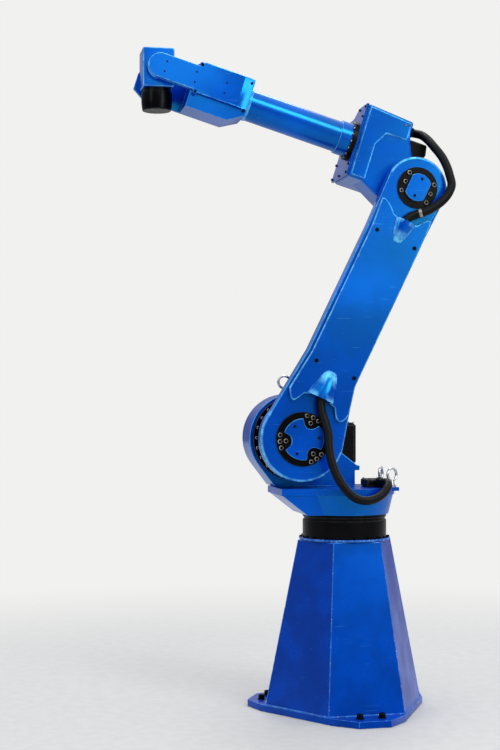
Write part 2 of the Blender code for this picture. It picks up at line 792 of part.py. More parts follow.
def buildElbow(holder, paint, black):
    # Gear casting behind the arm's head: drum, tall front box and a far box that is a little lower
    face = elbowFrontReach - elbowPlateThick - seatGap
    rear = [
        (elbowRearReach, elbowRearTop),
        (elbowRearReach, elbowRearTop * 0.83),
        (elbowRearReach * 0.88, elbowRearTop * 0.70),
        (elbowRearReach * 0.55, elbowRearTop * 0.52),
    ]
    drum = arcPoints((0.0, 0.0), elbowDrumRadius, 84.0, 306.0, 36)
    under = [(elbowUnderReach, elbowUnderFront), (face, elbowUnderFront)]
    padFace = elbowNearFace - elbowPadRise
    outline = [(face, elbowTop)] + rear + drum + under
    casting = finishObject(
        "elbow_casting", sideProfile(outline, elbowStepFace, padFace), holder, paint
    )
    addBevel(casting, elbowEdgeRound, 2, 30.0)
    lowered = [(face, elbowFarTop), (elbowRearReach, elbowFarTop)] + rear[1:3]
    lowered += [(elbowUnderReach * 0.56, elbowUnderFront), (face, elbowUnderFront)]
    far = finishObject(
        "elbow_far_shape", sideProfile(lowered, elbowFarFace, elbowStepFace + cutOverrun), holder, paint
    )
    addBevel(far, elbowEdgeRound * 1.5, 2, 30.0)
    addBoolean(casting, far, "UNION")
    builder = turnedProfile(
        [(elbowDrumFarFace, elbowDrumRadius * 0.92), (elbowStepFace + cutOverrun, elbowDrumRadius * 0.92)],
        "Y",
        40,
    )
    farDrum = finishObject("elbow_far_drum_shape", builder, holder, paint)
    addBoolean(casting, farDrum, "UNION")
    # Raised pad down the front and along the top of the near face
    inner = face - elbowColumnWidth
    padUnder = elbowRearTop - elbowPadDrop
    pad = [
        (face - elbowEdgeRound, elbowTop - elbowEdgeRound),
        (elbowRearReach + elbowEdgeRound, elbowRearTop - elbowEdgeRound),
        (elbowRearReach + elbowEdgeRound, padUnder),
        (inner - elbowColumnWidth * 0.45, padUnder),
        (inner, padUnder - elbowColumnWidth * 0.8),
        (inner, elbowUnderFront + elbowEdgeRound),
        (face - elbowEdgeRound, elbowUnderFront + elbowEdgeRound),
    ]
    builder = sideProfile(pad, padFace - cutOverrun / 2.0, padFace + elbowPadRise * 0.85)
    raised = finishObject("elbow_pad_shape", builder, holder, paint)
    addBevel(raised, elbowPadRise * 0.7, 2, 30.0)
    addBoolean(casting, raised, "UNION")
    seatRadius = elbowDrumRadius - elbowEdgeRound * 1.4
    seat = turnedProfile([(padFace - cutOverrun, seatRadius), (elbowNearFace, seatRadius)], "Y", 40)
    addBoolean(casting, finishObject("elbow_seat_shape", seat, holder, paint), "UNION")

    # Bolted plate over the casting's front, cut lower on the far side
    plate = []
    inset = elbowPlateInset
    step = elbowTop - elbowFarTop
    for x in (face + seatGap, elbowFrontReach):
        plate.append(
            [
                (x, elbowNearFace - inset, elbowUnderFront + inset),
                (x, elbowNearFace - inset, elbowTop - inset),
                (x, elbowStepFace + step, elbowTop - inset),
                (x, elbowStepFace + step * 0.35, elbowTop - inset - step * 0.25),
                (x, elbowStepFace - step * 0.35, elbowFarTop - inset + step * 0.15),
                (x, elbowStepFace - step, elbowFarTop - inset),
                (x, elbowFarFace + inset, elbowFarTop - inset),
                (x, elbowFarFace + inset, elbowUnderFront + inset),
            ]
        )
    finishObject("elbow_front_plate", loftSections(plate), holder, paint, smooth=False)

    low = elbowNearFace + seatGap
    builder = turnedProfile([(low, elbowRingRadius), (elbowRingNearFace, elbowRingRadius)], "Y", 40)
    finishObject("elbow_gearbox_ring", builder, holder, black)

    start = elbowFrontReach + seatGap
    profile = [(start, rollRingRadius), (start + rollRingLength, rollRingRadius)]
    builder = moveBuilder(turnedProfile(profile, "X", 40), (0.0, 0.0, forearmOffset))
    finishObject("forearm_bearing_ring", builder, holder, black)

    # Elbow motor on the far side, roll motor behind the casting
    high = elbowDrumFarFace - seatGap
    profile = [
        (high - elbowMotorLength, elbowMotorRadius * 0.90),
        (high - elbowMotorLength * 0.90, elbowMotorRadius),
        (high, elbowMotorRadius),
    ]
    finishObject("elbow_motor", turnedProfile(profile, "Y", 32), holder, black)

    slide = seatGap * 3.0
    outline = [
        (elbowRearReach * 0.90 - slide, elbowRearTop * 0.76),
        (elbowRearReach * 0.88 - slide, elbowRearTop * 0.70),
        (elbowRearReach * 0.55 - slide, elbowRearTop * 0.52),
        (elbowRearReach - rollMotorLength * 0.85, elbowRearTop * 0.52),
        (elbowRearReach - rollMotorLength, elbowRearTop * 0.60),
        (elbowRearReach - rollMotorLength * 0.92, elbowRearTop * 0.76),
    ]
    builder = sideProfile(outline, rollMotorNearFace - rollMotorSize, rollMotorNearFace)
    motor = finishObject("wrist_drive_motor", builder, holder, black)
    addBevel(motor, rollMotorSize * 0.04, 1)


def buildForearm(holder, paint):
    start = elbowFrontReach + seatGap + rollRingLength + seatGap
    step = start + tubeFlangeLength
    end = housingRear + seatGap
    profile = [
        (start, tubeFlangeRadius),
        (step, tubeFlangeRadius),
        (step, tubeRadius),
        (end - tubeCollarLength, tubeRadius),
        (end - tubeCollarLength, tubeCollarRadius),
        (end - seatGap * 2.0, tubeCollarRadius),
    ]
    finishObject("forearm_tube", turnedProfile(profile, "X", 40), holder, paint)


def buildWristHousing(holder, paint):
    # Solid rear block with a fork: the far tine is deep, the near one is a round-ended bar
    top = housingTop
    under = housingUnder
    rearBlock = [
        (housingRear, -tubeCollarRadius),
        (housingRear, tubeCollarRadius),
        (housingRear + top * 0.25, top),
        (housingShoulder, top),
        (housingShoulder, under),
        (housingRear + (housingShoulder - housingRear) * 0.28, under),
    ]
    block = finishObject(
        "wrist_housing", sideProfile(rearBlock, -housingHalfWidth, housingHalfWidth), holder, paint
    )
    lap = cutOverrun
    farTine = [(housingShoulder - lap, top), (housingShoulder - lap, under)]
    farTine += [(forkFarTip - forkFarRadius * 0.80, under)]
    farTine += [(forkFarTip, under * 0.70), (forkFarTip, under * 0.10)]
    farTine += [(forkFarTip - forkFarRadius * 0.30, top * 0.60), (forkFarTip - forkFarRadius, top)]
    tine = finishObject(
        "far_tine_shape", sideProfile(farTine, -housingHalfWidth, -forkHalfGap), holder, paint
    )
    addBoolean(block, tine, "UNION")
    rise = wristCoverRise
    nearTine = [(housingShoulder - lap, rise + forkNearRadius)]
    nearTine += [(housingShoulder - lap, rise - forkNearRadius)]
    nearTine += arcPoints((wristReach, rise), forkNearRadius, -90.0, 90.0, 20)
    tine = finishObject(
        "near_tine_shape", sideProfile(nearTine, forkHalfGap, housingHalfWidth), holder, paint
    )
    addBoolean(block, tine, "UNION")


def wristCoverOutline():
    rise = wristCoverRise
    narrow = forkNearRadius
    wide = wristCoverWide
    middle = rise + wristCoverWideRise
    corner = narrow * 0.16
    start, step = housingShoulder - narrow * 0.52, housingShoulder - narrow * 0.30
    outline = [(housingRear, middle + wide), (housingRear, middle - wide)]
    outline += [(start, middle - wide), (step, rise - narrow - corner)]
    outline += [(housingShoulder - corner, rise - narrow)]
    outline += arcPoints((wristReach, rise), narrow, -90.0, 90.0, 22)
    outline += [(housingShoulder - corner, rise + narrow)]
    outline += [(step, rise + narrow + corner), (start, middle + wide)]
    return outline


def buildWristCovers(holder, paint):
    for name, side in (("wrist_cover_near", 1.0), ("wrist_cover_far", -1.0)):
        low = side * (housingHalfWidth + seatGap)
        high = side * (housingHalfWidth + seatGap + wristCoverThick)
        builder = sideProfile(wristCoverOutline(), min(low, high), max(low, high))
        item = finishObject(name, builder, holder, paint)
        addBevel(item, housingEdgeRound, 2, 50.0)
        # The rear end slopes down to a thin lip
        foot = Vector((housingRear, low + side * wristCoverLip))
        crest = Vector((housingRear + wristCoverSlope, high))
        reach = (crest - foot) * 0.25
        start, end = foot - reach, crest + reach
        loops = []
        for z in (wristCoverRise - wristCoverWide * 1.5, wristCoverRise + wristCoverWide * 1.5):
            loops.append([(start.x, start.y, z), (end.x, end.y, z), (start.x, end.y, z)])
        cutter = finishObject(name + "_slope", loftSections(loops), holder, None)
        addBoolean(item, cutter, "DIFFERENCE")


def buildWristBlock(holder, paint):
    low = (-blockRear, -blockHalfWidth, -blockUnder)
    high = (blockFront, blockHalfWidth, blockTop)
    item = finishObject("wrist_block", boxBetween(low, high), holder, paint)
    addBevel(item, blockRound, 2)
    # Pivot bosses that run in the fork
    end = forkHalfGap - seatGap
    builder = turnedProfile([(-end, pivotBossRadius), (end, pivotBossRadius)], "Y", 32)
    boss = finishObject("pivot_boss_shape", builder, holder, paint)
    addBoolean(item, boss, "UNION")


def buildToolFlange(holder, black):
    top = -(blockUnder + seatGap)
    neck = top - flangeCollarLength
    face = top - flangeLength
    profile = [
        (face, flangeFaceRadius),
        (face + flangeLength * 0.05, flangeFaceRadius + waistRingGroove / 2.0),
        (face + flangeLength * 0.40, flangeRadius),
        (neck, flangeRadius),
        (neck, flangeRadius - waistRingGroove),
        (top, flangeRadius - waistRingGroove),
    ]
    finishObject("tool_flange", turnedProfile(profile, "Z", 40), holder, black)


def smoothRoute(points, spacing):
    # Catmull-Rom curve through the route's own points, read at even steps
    padded = [points[0] * 2.0 - points[1]] + points + [points[-1] * 2.0 - points[-2]]
    dense = []
    for i in range(1, len(padded) - 2):
        a, b, c, d = padded[i - 1], padded[i], padded[i + 1], padded[i + 2]
        for step in range(24):
            t = step / 24.0
            dense.append(
                0.5 * ((2.0 * b) + (c - a) * t + (2.0 * a - 5.0 * b + 4.0 * c - d) * t ** 2
                       + (3.0 * b - a - 3.0 * c + d) * t ** 3)
            )
    dense.append(padded[-2])
    total = sum((q - p).length for p, q in zip(dense[:-1], dense[1:]))
    count = max(4, round(total / spacing))
    result = [dense[0]]
    travelled = 0.0
    target = total / count
    for p, q in zip(dense[:-1], dense[1:]):
        travelled += (q - p).length
        if travelled >= target * len(result) - 1e-9 and len(result) < count:
            result.append(q)
    result.append(dense[-1])
    result[1] = points[1]
    result[-2] = points[-2]
    return result


def buildHose(name, route, joint, holder, rubber):
    points = smoothRoute([joint + Vector(p) for p in route], hoseRadius * 2.0)
    curve = bpy.data.curves.new(name, "CURVE")
    curve.dimensions = "3D"
    curve.bevel_depth = hoseRadius
    curve.bevel_resolution = 3
    curve.use_fill_caps = True
    spline = curve.splines.new("POLY")
    spline.points.add(len(points) - 1)
    inverse = holder.matrix_world.inverted()
    for target, point in zip(spline.points, points):
        place = inverse @ point
        target.co = (place.x, place.y, place.z, 1.0)
    curve.materials.append(rubber)
    item = bpy.data.objects.new(name, curve)
    bpy.context.collection.objects.link(item)
    item.parent = holder
    return item


def buildRobot():
    clearScene()
    paint = makeMaterial("blue paint", (0.004, 0.085, 0.47), 0.22, 0.0)
    black = makeMaterial("black steel", (0.012, 0.012, 0.014), 0.35, 0.4)
    rubber = makeMaterial("black hose", (0.010, 0.010, 0.010), 0.45, 0.0)
    steel = makeMaterial("bright steel", (0.62, 0.62, 0.62), 0.25, 1.0)

    waist = makeEmpty("waist_axis", Vector((0.0, 0.0, 0.0)), 0.0, None)
    shoulder = makeEmpty("shoulder_axis", shoulderAt, upperArmLean, waist)
    along = Vector((math.cos(upperArmLean), 0.0, math.sin(upperArmLean)))
    elbowAt = shoulderAt + along * upperArmLength
    elbow = makeEmpty("elbow_axis", elbowAt, forearmPitch, shoulder)
    forward = Vector((math.cos(forearmPitch), 0.0, math.sin(forearmPitch)))
    upward = Vector((-math.sin(forearmPitch), 0.0, math.cos(forearmPitch)))
    rollAt = elbowAt + upward * forearmOffset
    roll = makeEmpty("forearm_axis", rollAt, forearmPitch, elbow)
    wristAt = rollAt + forward * wristReach
    wrist = makeEmpty("wrist_axis", wristAt, 0.0, roll)
    flange = makeEmpty("flange_axis", wristAt, 0.0, wrist)

    buildPedestal(paint)
    buildWaistRing(black)
    buildTurntable(waist, paint)
    buildShoulderCasting(waist, paint)
    buildShoulderRing(waist, black)
    buildShoulderMotor(waist, paint, black)
    buildWaistMotor(waist, black)
    buildEntryBox(waist, black)
    foot = turntableTop + seatGap
    buildEye("rear_lifting_eye_a", rearEyeInner, foot, rearEyeInnerTurn, waist, steel)
    buildEye("rear_lifting_eye_b", rearEyeOuter, foot, rearEyeOuterTurn, waist, steel)
    drumEyeAt = (shoulderForward + drumEyeAhead, (drumNearFace + drumFarFace) / 2.0)
    highestUnderEye = max(0.0, drumEyeAhead - eyeCollarRadius)
    drumEyeFoot = shoulderHeight + math.sqrt(drumRadius ** 2 - highestUnderEye ** 2) + seatGap
    buildEye("drum_lifting_eye", drumEyeAt, drumEyeFoot, drumEyeTurn, waist, steel)

    buildUpperArm(shoulder, paint)
    buildArmCover(shoulder, paint)
    buildCaps(shoulder, paint, black)
    buildElbow(elbow, paint, black)
    buildForearm(roll, paint)
    buildWristHousing(roll, paint)
    buildWristCovers(roll, paint)
    buildWristBlock(wrist, paint)
    buildToolFlange(flange, black)
    buildHose("shoulder_hose", shoulderHoseRoute, shoulderAt, waist, rubber)
    buildHose("elbow_hose", elbowHoseRoute, elbowAt, shoulder, rubber)


buildRobot()
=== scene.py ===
# Looks of the six-axis robot arm: enamel, gearbox rings, screws, hoses, floor, lamps and camera
import json
import math

import bmesh
import bpy
from mathutils import Matrix, Vector


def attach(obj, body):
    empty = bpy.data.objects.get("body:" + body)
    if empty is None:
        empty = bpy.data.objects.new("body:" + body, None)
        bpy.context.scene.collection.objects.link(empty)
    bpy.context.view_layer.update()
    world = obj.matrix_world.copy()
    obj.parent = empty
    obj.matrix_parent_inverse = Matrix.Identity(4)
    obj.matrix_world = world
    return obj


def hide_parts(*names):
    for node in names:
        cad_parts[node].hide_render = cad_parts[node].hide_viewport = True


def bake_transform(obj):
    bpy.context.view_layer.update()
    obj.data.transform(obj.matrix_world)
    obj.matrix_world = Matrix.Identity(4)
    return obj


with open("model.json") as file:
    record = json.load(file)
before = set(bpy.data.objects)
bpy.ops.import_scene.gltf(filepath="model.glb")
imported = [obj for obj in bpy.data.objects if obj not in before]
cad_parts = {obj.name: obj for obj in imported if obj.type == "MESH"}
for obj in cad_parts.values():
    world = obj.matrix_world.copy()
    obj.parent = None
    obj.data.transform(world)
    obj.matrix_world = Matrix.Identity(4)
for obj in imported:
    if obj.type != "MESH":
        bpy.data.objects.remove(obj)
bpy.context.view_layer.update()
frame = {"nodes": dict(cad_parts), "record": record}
mm = 0.001
bodyOf = {n: body for body, nodes in frame["record"]["behaviour"]["bodies"].items() for n in nodes}
print("frame loaded:", len(frame["nodes"]), "nodes")

# Limb frames: u along the limb, y to the robot's left, v square to the limb
jointAt = {j["name"]: tuple(j["pos_m"]) for j in frame["record"]["behaviour"]["joints"]}
armFrame = {"at": jointAt["shoulder"], "pitch": 115.1}
elbowFrame = {"at": jointAt["elbow"], "pitch": 17.3}
rollFrame = {"at": jointAt["forearm_roll"], "pitch": 17.3}
bendFrame = {"at": jointAt["wrist_bend"], "pitch": 0.0}
worldFrame = {"at": (0.0, 0.0, 0.0), "pitch": 0.0}
armLength = 0.905


def frameMatrix(limb):
    return Matrix.Translation(limb["at"]) @ Matrix.Rotation(-math.radians(limb["pitch"]), 4, "Y")


def limbPoint(limb, u, y, v):
    return frameMatrix(limb) @ Vector((u, y, v))


def limbTurn(limb, direction):
    return frameMatrix(limb).to_3x3() @ Vector(direction)


# Materials
def linear(hexColour):
    channels = [int(hexColour[i : i + 2], 16) / 255.0 for i in (1, 3, 5)]
    return tuple(c / 12.92 if c <= 0.04045 else ((c + 0.055) / 1.055) ** 2.4 for c in channels) + (1.0,)


def addNode(tree, kind, inputs=None, **settings):
    node = tree.nodes.new(kind)
    for name, value in settings.items():
        setattr(node, name, value)
    for name, value in (inputs or {}).items():
        if isinstance(value, bpy.types.NodeSocket):
            tree.links.new(value, node.inputs[name])
        else:
            node.inputs[name].default_value = value
    return node


def newMaterial(name):
    material = bpy.data.materials.new(name)
    material.use_nodes = True
    tree = material.node_tree
    tree.nodes.clear()
    shader = addNode(tree, "ShaderNodeBsdfPrincipled")
    addNode(tree, "ShaderNodeOutputMaterial", {"Surface": shader.outputs["BSDF"]})
    place = addNode(tree, "ShaderNodeTexCoord").outputs["Object"]
    return material, tree, shader, place


def perMetre(sizeMm):
    # Noise scale whose features are about sizeMm across
    return 1.0 / (sizeMm * mm)


def ramp(tree, value, low, high, out=(0.0, 1.0)):
    node = addNode(
        tree,
        "ShaderNodeMapRange",
        {"Value": value, "From Min": low, "From Max": high, "To Min": out[0], "To Max": out[1]},
        interpolation_type="SMOOTHSTEP",
    )
    return node.outputs["Result"]


def mixColour(tree, share, first, second):
    node = addNode(tree, "ShaderNodeMix", {0: share, 6: first, 7: second}, data_type="RGBA")
    return node.outputs[2]


# Noise of the enamel, whose sizes come from each look, and the levels between which each pattern fades in
enamelNoise = {
    "cloud": {"Detail": 4.0}, "dust": {"Detail": 8.0, "Roughness": 0.7}, "rubAndHighlight": {"Detail": 6.0, "Roughness": 0.65},
    "chip": {"Detail": 3.0, "Roughness": 0.8}, "peel": {"Detail": 2.0},
}
enamelLevels = {
    "cloud": (0.32, 0.70), "dust": (0.60, 0.80), "rubAndHighlight": (0.35, 0.65), "rubAndHighlightShare": (0.25, 1.0), "chipFade": 0.03,
    "scratch": (0.69, 0.74), "scratchDetail": 2.0, "scratchTurn": (0.3, 0.9, 0.2), "scratchStretch": (1.0, 6.0, 28.0),
    "peelDepth": 0.25, "gloss": (0.3, 0.7), "glossSpread": (1.15, 0.88), "rubbedRoughness": 0.12,
}


def sprayedEnamel(name, look):
    # Two-pack polyurethane enamel sprayed over primed castings: deep gloss blue, a slight orange peel, paler in
    # patches along the rounded edges, partly worn enamel and partly a painted highlight on the rims, primer showing
    # in a few chips
    material, tree, shader, place = newMaterial(name)
    level = enamelLevels
    pattern = {}
    for kind, noise in enamelNoise.items():
        inputs = dict(noise, Vector=place, Scale=perMetre(look[kind + "Mm"]))
        pattern[kind] = addNode(tree, "ShaderNodeTexNoise", inputs).outputs["Fac"]
    cloudy = ramp(tree, pattern["cloud"], *level["cloud"])
    tone = mixColour(tree, cloudy, linear(look["deep"]), linear(look["colour"]))
    speck = ramp(tree, pattern["dust"], *level["dust"], (0.0, look["dust"]))
    tone = mixColour(tree, speck, tone, linear(look["worn"]))
    # The marked rounded edges turn paler in patches: partly wear, partly a painted highlight on the rims
    edge = addNode(tree, "ShaderNodeAttribute", attribute_name="edge").outputs["Fac"]
    rubAndHighlight = ramp(tree, pattern["rubAndHighlight"], *level["rubAndHighlight"], level["rubAndHighlightShare"])
    edgeRubAndHighlight = addNode(tree, "ShaderNodeMath", {0: edge, 1: rubAndHighlight}, operation="MULTIPLY").outputs[0]
    pale = addNode(tree, "ShaderNodeMath", {0: edgeRubAndHighlight, 1: look["rubAndHighlight"]}, operation="MULTIPLY").outputs[0]
    tone = mixColour(tree, pale, tone, linear(look["worn"]))
    chip = ramp(tree, pattern["chip"], look["chipFrom"], look["chipFrom"] + level["chipFade"])
    chipped = addNode(tree, "ShaderNodeMath", {0: edge, 1: chip}, operation="MULTIPLY").outputs[0]
    tone = mixColour(tree, chipped, tone, linear(look["primer"]))
    # Long fine scratches, from noise that is drawn out along one direction
    inputs = {"Vector": place, "Rotation": level["scratchTurn"], "Scale": level["scratchStretch"]}
    drawn = addNode(tree, "ShaderNodeMapping", inputs).outputs[0]
    inputs = {"Vector": drawn, "Scale": perMetre(look["scratchMm"]), "Detail": level["scratchDetail"]}
    scratch = addNode(tree, "ShaderNodeTexNoise", inputs).outputs["Fac"]
    scuffed = ramp(tree, scratch, *level["scratch"], (0.0, look["scratch"]))
    tone = mixColour(tree, scuffed, tone, linear(look["worn"]))
    inputs = {"Strength": look["peel"], "Distance": level["peelDepth"] * mm, "Height": pattern["peel"]}
    bump = addNode(tree, "ShaderNodeBump", inputs)
    spread = tuple(look["roughness"] * share for share in level["glossSpread"])
    rough = ramp(tree, pattern["cloud"], *level["gloss"], spread)
    rougher = ramp(tree, edgeRubAndHighlight, 0.0, 1.0, (0.0, level["rubbedRoughness"]))
    rough = addNode(tree, "ShaderNodeMath", {0: rough, 1: rougher}, operation="ADD")
    tree.links.new(tone, shader.inputs["Base Color"])
    tree.links.new(rough.outputs[0], shader.inputs["Roughness"])
    tree.links.new(bump.outputs["Normal"], shader.inputs["Normal"])
    shader.inputs["IOR"].default_value = look["ior"]
    shader.inputs["Specular IOR Level"].default_value = look["gloss"]
    shader.inputs["Specular Tint"].default_value = linear(look["sheen"])
    return material


# The worn colour paints the dust, the scratches and the paler edges; on the edges it is partly a painted highlight
castLook = {
    "colour": "#003ec4", "deep": "#002092", "worn": "#74ccff", "primer": "#b4c2d0", "sheen": "#30c8ff", "gloss": 1.0,
    "cloudMm": 240, "dustMm": 5, "dust": 0.06, "rubAndHighlightMm": 22, "rubAndHighlight": 0.95, "chipMm": 6, "chipFrom": 0.70,
    "scratchMm": 90, "scratch": 0.20, "peelMm": 2.6, "peel": 0.07, "roughness": 0.20, "ior": 1.8,
}
sheetLook = dict(
    castLook, colour="#0038a8", deep="#00278a", worn="#3f86d6", sheen="#1a90f0", gloss=0.6, cloudMm=95, dust=0.06,
    rubAndHighlightMm=30, rubAndHighlight=0.75, chipFrom=0.60, scratch=0.30, peelMm=4.0, peel=0.22, roughness=0.30,
)
castEnamel = sprayedEnamel("blueEnamelSprayedOnCastIron", castLook)
sheetEnamel = sprayedEnamel("blueEnamelRolledOnSteelPlate", sheetLook)


blackLevels = {
    "cloudDetail": 5.0, "grainDetail": 3.0, "dusty": (0.35, 0.75), "worn": (0.45, 0.62), "grainDepth": 0.15,
    "gloss": (0.3, 0.7), "duller": 1.3,
}


def blackedSteel(name, look):
    # Steel or plastic in satin black: soft broad glints, dust in its fine grain, bare steel on worn edges
    material, tree, shader, place = newMaterial(name)
    level = blackLevels
    inputs = {"Vector": place, "Scale": perMetre(look["cloudMm"]), "Detail": level["cloudDetail"]}
    cloud = addNode(tree, "ShaderNodeTexNoise", inputs).outputs["Fac"]
    inputs = {"Vector": place, "Scale": perMetre(look["grainMm"]), "Detail": level["grainDetail"]}
    grain = addNode(tree, "ShaderNodeTexNoise", inputs).outputs["Fac"]
    tone = mixColour(tree, ramp(tree, cloud, *level["dusty"]), linear(look["colour"]), linear(look["dusty"]))
    edge = addNode(tree, "ShaderNodeAttribute", attribute_name="edge").outputs["Fac"]
    wear = ramp(tree, grain, *level["worn"], (0.0, look["wear"]))
    worn = addNode(tree, "ShaderNodeMath", {0: edge, 1: wear}, operation="MULTIPLY").outputs[0]
    tone = mixColour(tree, worn, tone, linear(look["bare"]))
    inputs = {"Strength": look["bump"], "Distance": level["grainDepth"] * mm, "Height": grain}
    bump = addNode(tree, "ShaderNodeBump", inputs)
    rough = ramp(tree, cloud, *level["gloss"], (look["roughness"], look["roughness"] * level["duller"]))
    tree.links.new(tone, shader.inputs["Base Color"])
    tree.links.new(rough, shader.inputs["Roughness"])
    tree.links.new(bump.outputs["Normal"], shader.inputs["Normal"])
    shader.inputs["IOR"].default_value = look["ior"]
    shader.inputs["Specular IOR Level"].default_value = look["gloss"]
    return material


ringLook = {
    "colour": "#010103", "dusty": "#050508", "bare": "#6c6d72", "cloudMm": 60, "grainMm": 1.6, "wear": 0.6,
    "bump": 0.12, "roughness": 0.24, "ior": 1.5, "gloss": 0.09,
}
blackPaint = blackedSteel("blackEnamelOnTurnedSteel", ringLook)
screwBlack = blackedSteel(
    "blackOxideOnForgedScrews",
    dict(ringLook, colour="#010102", dusty="#060607", grainMm=0.9, wear=0.9, roughness=0.38),
)
motorBlack = blackedSteel(
    "blackAnodisedMotorCasting", dict(ringLook, colour="#010102", dusty="#060607", bump=0.3, roughness=0.40)
)
conduitBlack = blackedSteel(
    "blackPolyamideConduitExtruded",
    dict(
        ringLook, colour="#010102", dusty="#040405", cloudMm=30, grainMm=1.2, wear=0.0, roughness=0.30, ior=1.53,
        gloss=0.14,
    ),
)


platedLevels = {
    "cloudDetail": 4.0, "grainDetail": 5.0, "dull": (0.3, 0.7), "grain": (0.3, 0.7), "grainBump": 0.15,
    "grainDepth": 0.1, "duller": 1.5,
}


def barePlated(name, look):
    # Zinc-plated or polished steel: bright, with fine turned lines and a slightly milky film
    material, tree, shader, place = newMaterial(name)
    level = platedLevels
    inputs = {"Vector": place, "Scale": perMetre(look["cloudMm"]), "Detail": level["cloudDetail"]}
    cloud = addNode(tree, "ShaderNodeTexNoise", inputs).outputs["Fac"]
    inputs = {"Vector": place, "Scale": perMetre(look["grainMm"]), "Detail": level["grainDetail"]}
    grain = addNode(tree, "ShaderNodeTexNoise", inputs).outputs["Fac"]
    tone = mixColour(tree, ramp(tree, cloud, *level["dull"]), linear(look["colour"]), linear(look["dull"]))
    inputs = {"Strength": level["grainBump"], "Distance": level["grainDepth"] * mm, "Height": grain}
    bump = addNode(tree, "ShaderNodeBump", inputs)
    rough = ramp(tree, grain, *level["grain"], (look["roughness"], look["roughness"] * level["duller"]))
    tree.links.new(tone, shader.inputs["Base Color"])
    tree.links.new(rough, shader.inputs["Roughness"])
    tree.links.new(bump.outputs["Normal"], shader.inputs["Normal"])
    shader.inputs["Metallic"].default_value = 1.0
    return material


eyeSteel = barePlated(
    "zincPlatedForgedSteel",
    {"colour": "#d9dadb", "dull": "#aeb0b3", "cloudMm": 12, "grainMm": 1.0, "roughness": 0.22},
)
screwSteel = barePlated(
    "brightZincOnScrews", {"colour": "#b9b2a0", "dull": "#8a857a", "cloudMm": 6, "grainMm": 0.8, "roughness": 0.28}
)
print("materials made")


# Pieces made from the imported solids, with their edges eased as the real castings are
def finish(name, bm, body, materials, smoothAngle=50.0):
    mesh = bpy.data.meshes.new(name)
    bm.to_mesh(mesh)
    bm.free()
    for material in materials:
        mesh.materials.append(material)
    mesh.shade_smooth()
    mesh.set_sharp_from_angle(angle=math.radians(smoothAngle))
    if "creaseLine" in mesh.attributes:
        marks = mesh.attributes["creaseLine"].data
        for i in [k for k, mark in enumerate(marks) if mark.value]:
            mesh.edges[i].use_edge_sharp = True
        mesh.attributes.remove(mesh.attributes["creaseLine"])
    piece = bpy.data.objects.new(name, mesh)
    bpy.context.scene.collection.objects.link(piece)
    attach(piece, body)
    return piece


# Faces narrower than this belong to a rounding; the pieces listed keep their shallow bends crisp
narrow = 4.2 * mm
creaseAngle = 13.0
faceted = {
    "pedestal_body", "pedestal_flange", "shoulder_casting", "elbow_casting", "elbow_front_plate", "wrist_housing",
    "wrist_cover_near", "wrist_cover_far", "wrist_block",
}


def isNarrow(face):
    return face.calc_area() < narrow * face.calc_perimeter() / 2.0


def markCreases(bm):
    # Shallow bends between two wide faces stay crisp, as they are on the castings
    layer = bm.edges.layers.int.new("creaseLine")
    for edge in bm.edges:
        if len(edge.link_faces) == 2 and edge.calc_face_angle(0.0) > math.radians(creaseAngle):
            edge[layer] = 0 if any(isNarrow(face) for face in edge.link_faces) else 1


def ease(bm, width, segments, angle):
    # Rounds the edges sharper than the angle and marks the middle of each rounding
    edges = [e for e in bm.edges if len(e.link_faces) == 2 and e.calc_face_angle(0.0) > math.radians(angle)]
    made = bmesh.ops.bevel(
        bm, geom=edges, offset=width, offset_type="OFFSET", segments=segments, profile=0.5, affect="EDGES",
        clamp_overlap=True,
    )
    rounded = set(made["faces"])
    layer = bm.verts.layers.float.new("edge")
    for vert in made["verts"]:
        if vert.is_valid and all(face in rounded for face in vert.link_faces):
            vert[layer] = 1.0
    # Narrow faces of the solids' own roundings are marked too, so that the enamel paints them paler: partly wear,
    # partly a painted highlight on the rims
    for vert in bm.verts:
        if all(isNarrow(face) for face in vert.link_faces):
            vert[layer] = 1.0


dressing = {"weld": 0.01, "flatAngle": 0.4, "sharpAngle": 35.0, "segments": 2}


def dress(node, material, width):
    bm = bmesh.new()
    bm.from_mesh(frame["nodes"][node].data)
    bmesh.ops.remove_doubles(bm, verts=bm.verts, dist=dressing["weld"] * mm)
    flat = math.radians(dressing["flatAngle"])
    bmesh.ops.dissolve_limit(bm, angle_limit=flat, verts=bm.verts, edges=bm.edges)
    ease(bm, width * mm, dressing["segments"], dressing["sharpAngle"])
    if node in faceted:
        markCreases(bm)
    piece = finish(node + "_finish", bm, bodyOf[node], [material])
    weighted = piece.modifiers.new("evenNormals", "WEIGHTED_NORMAL")
    weighted.keep_sharp = True
    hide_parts(node)


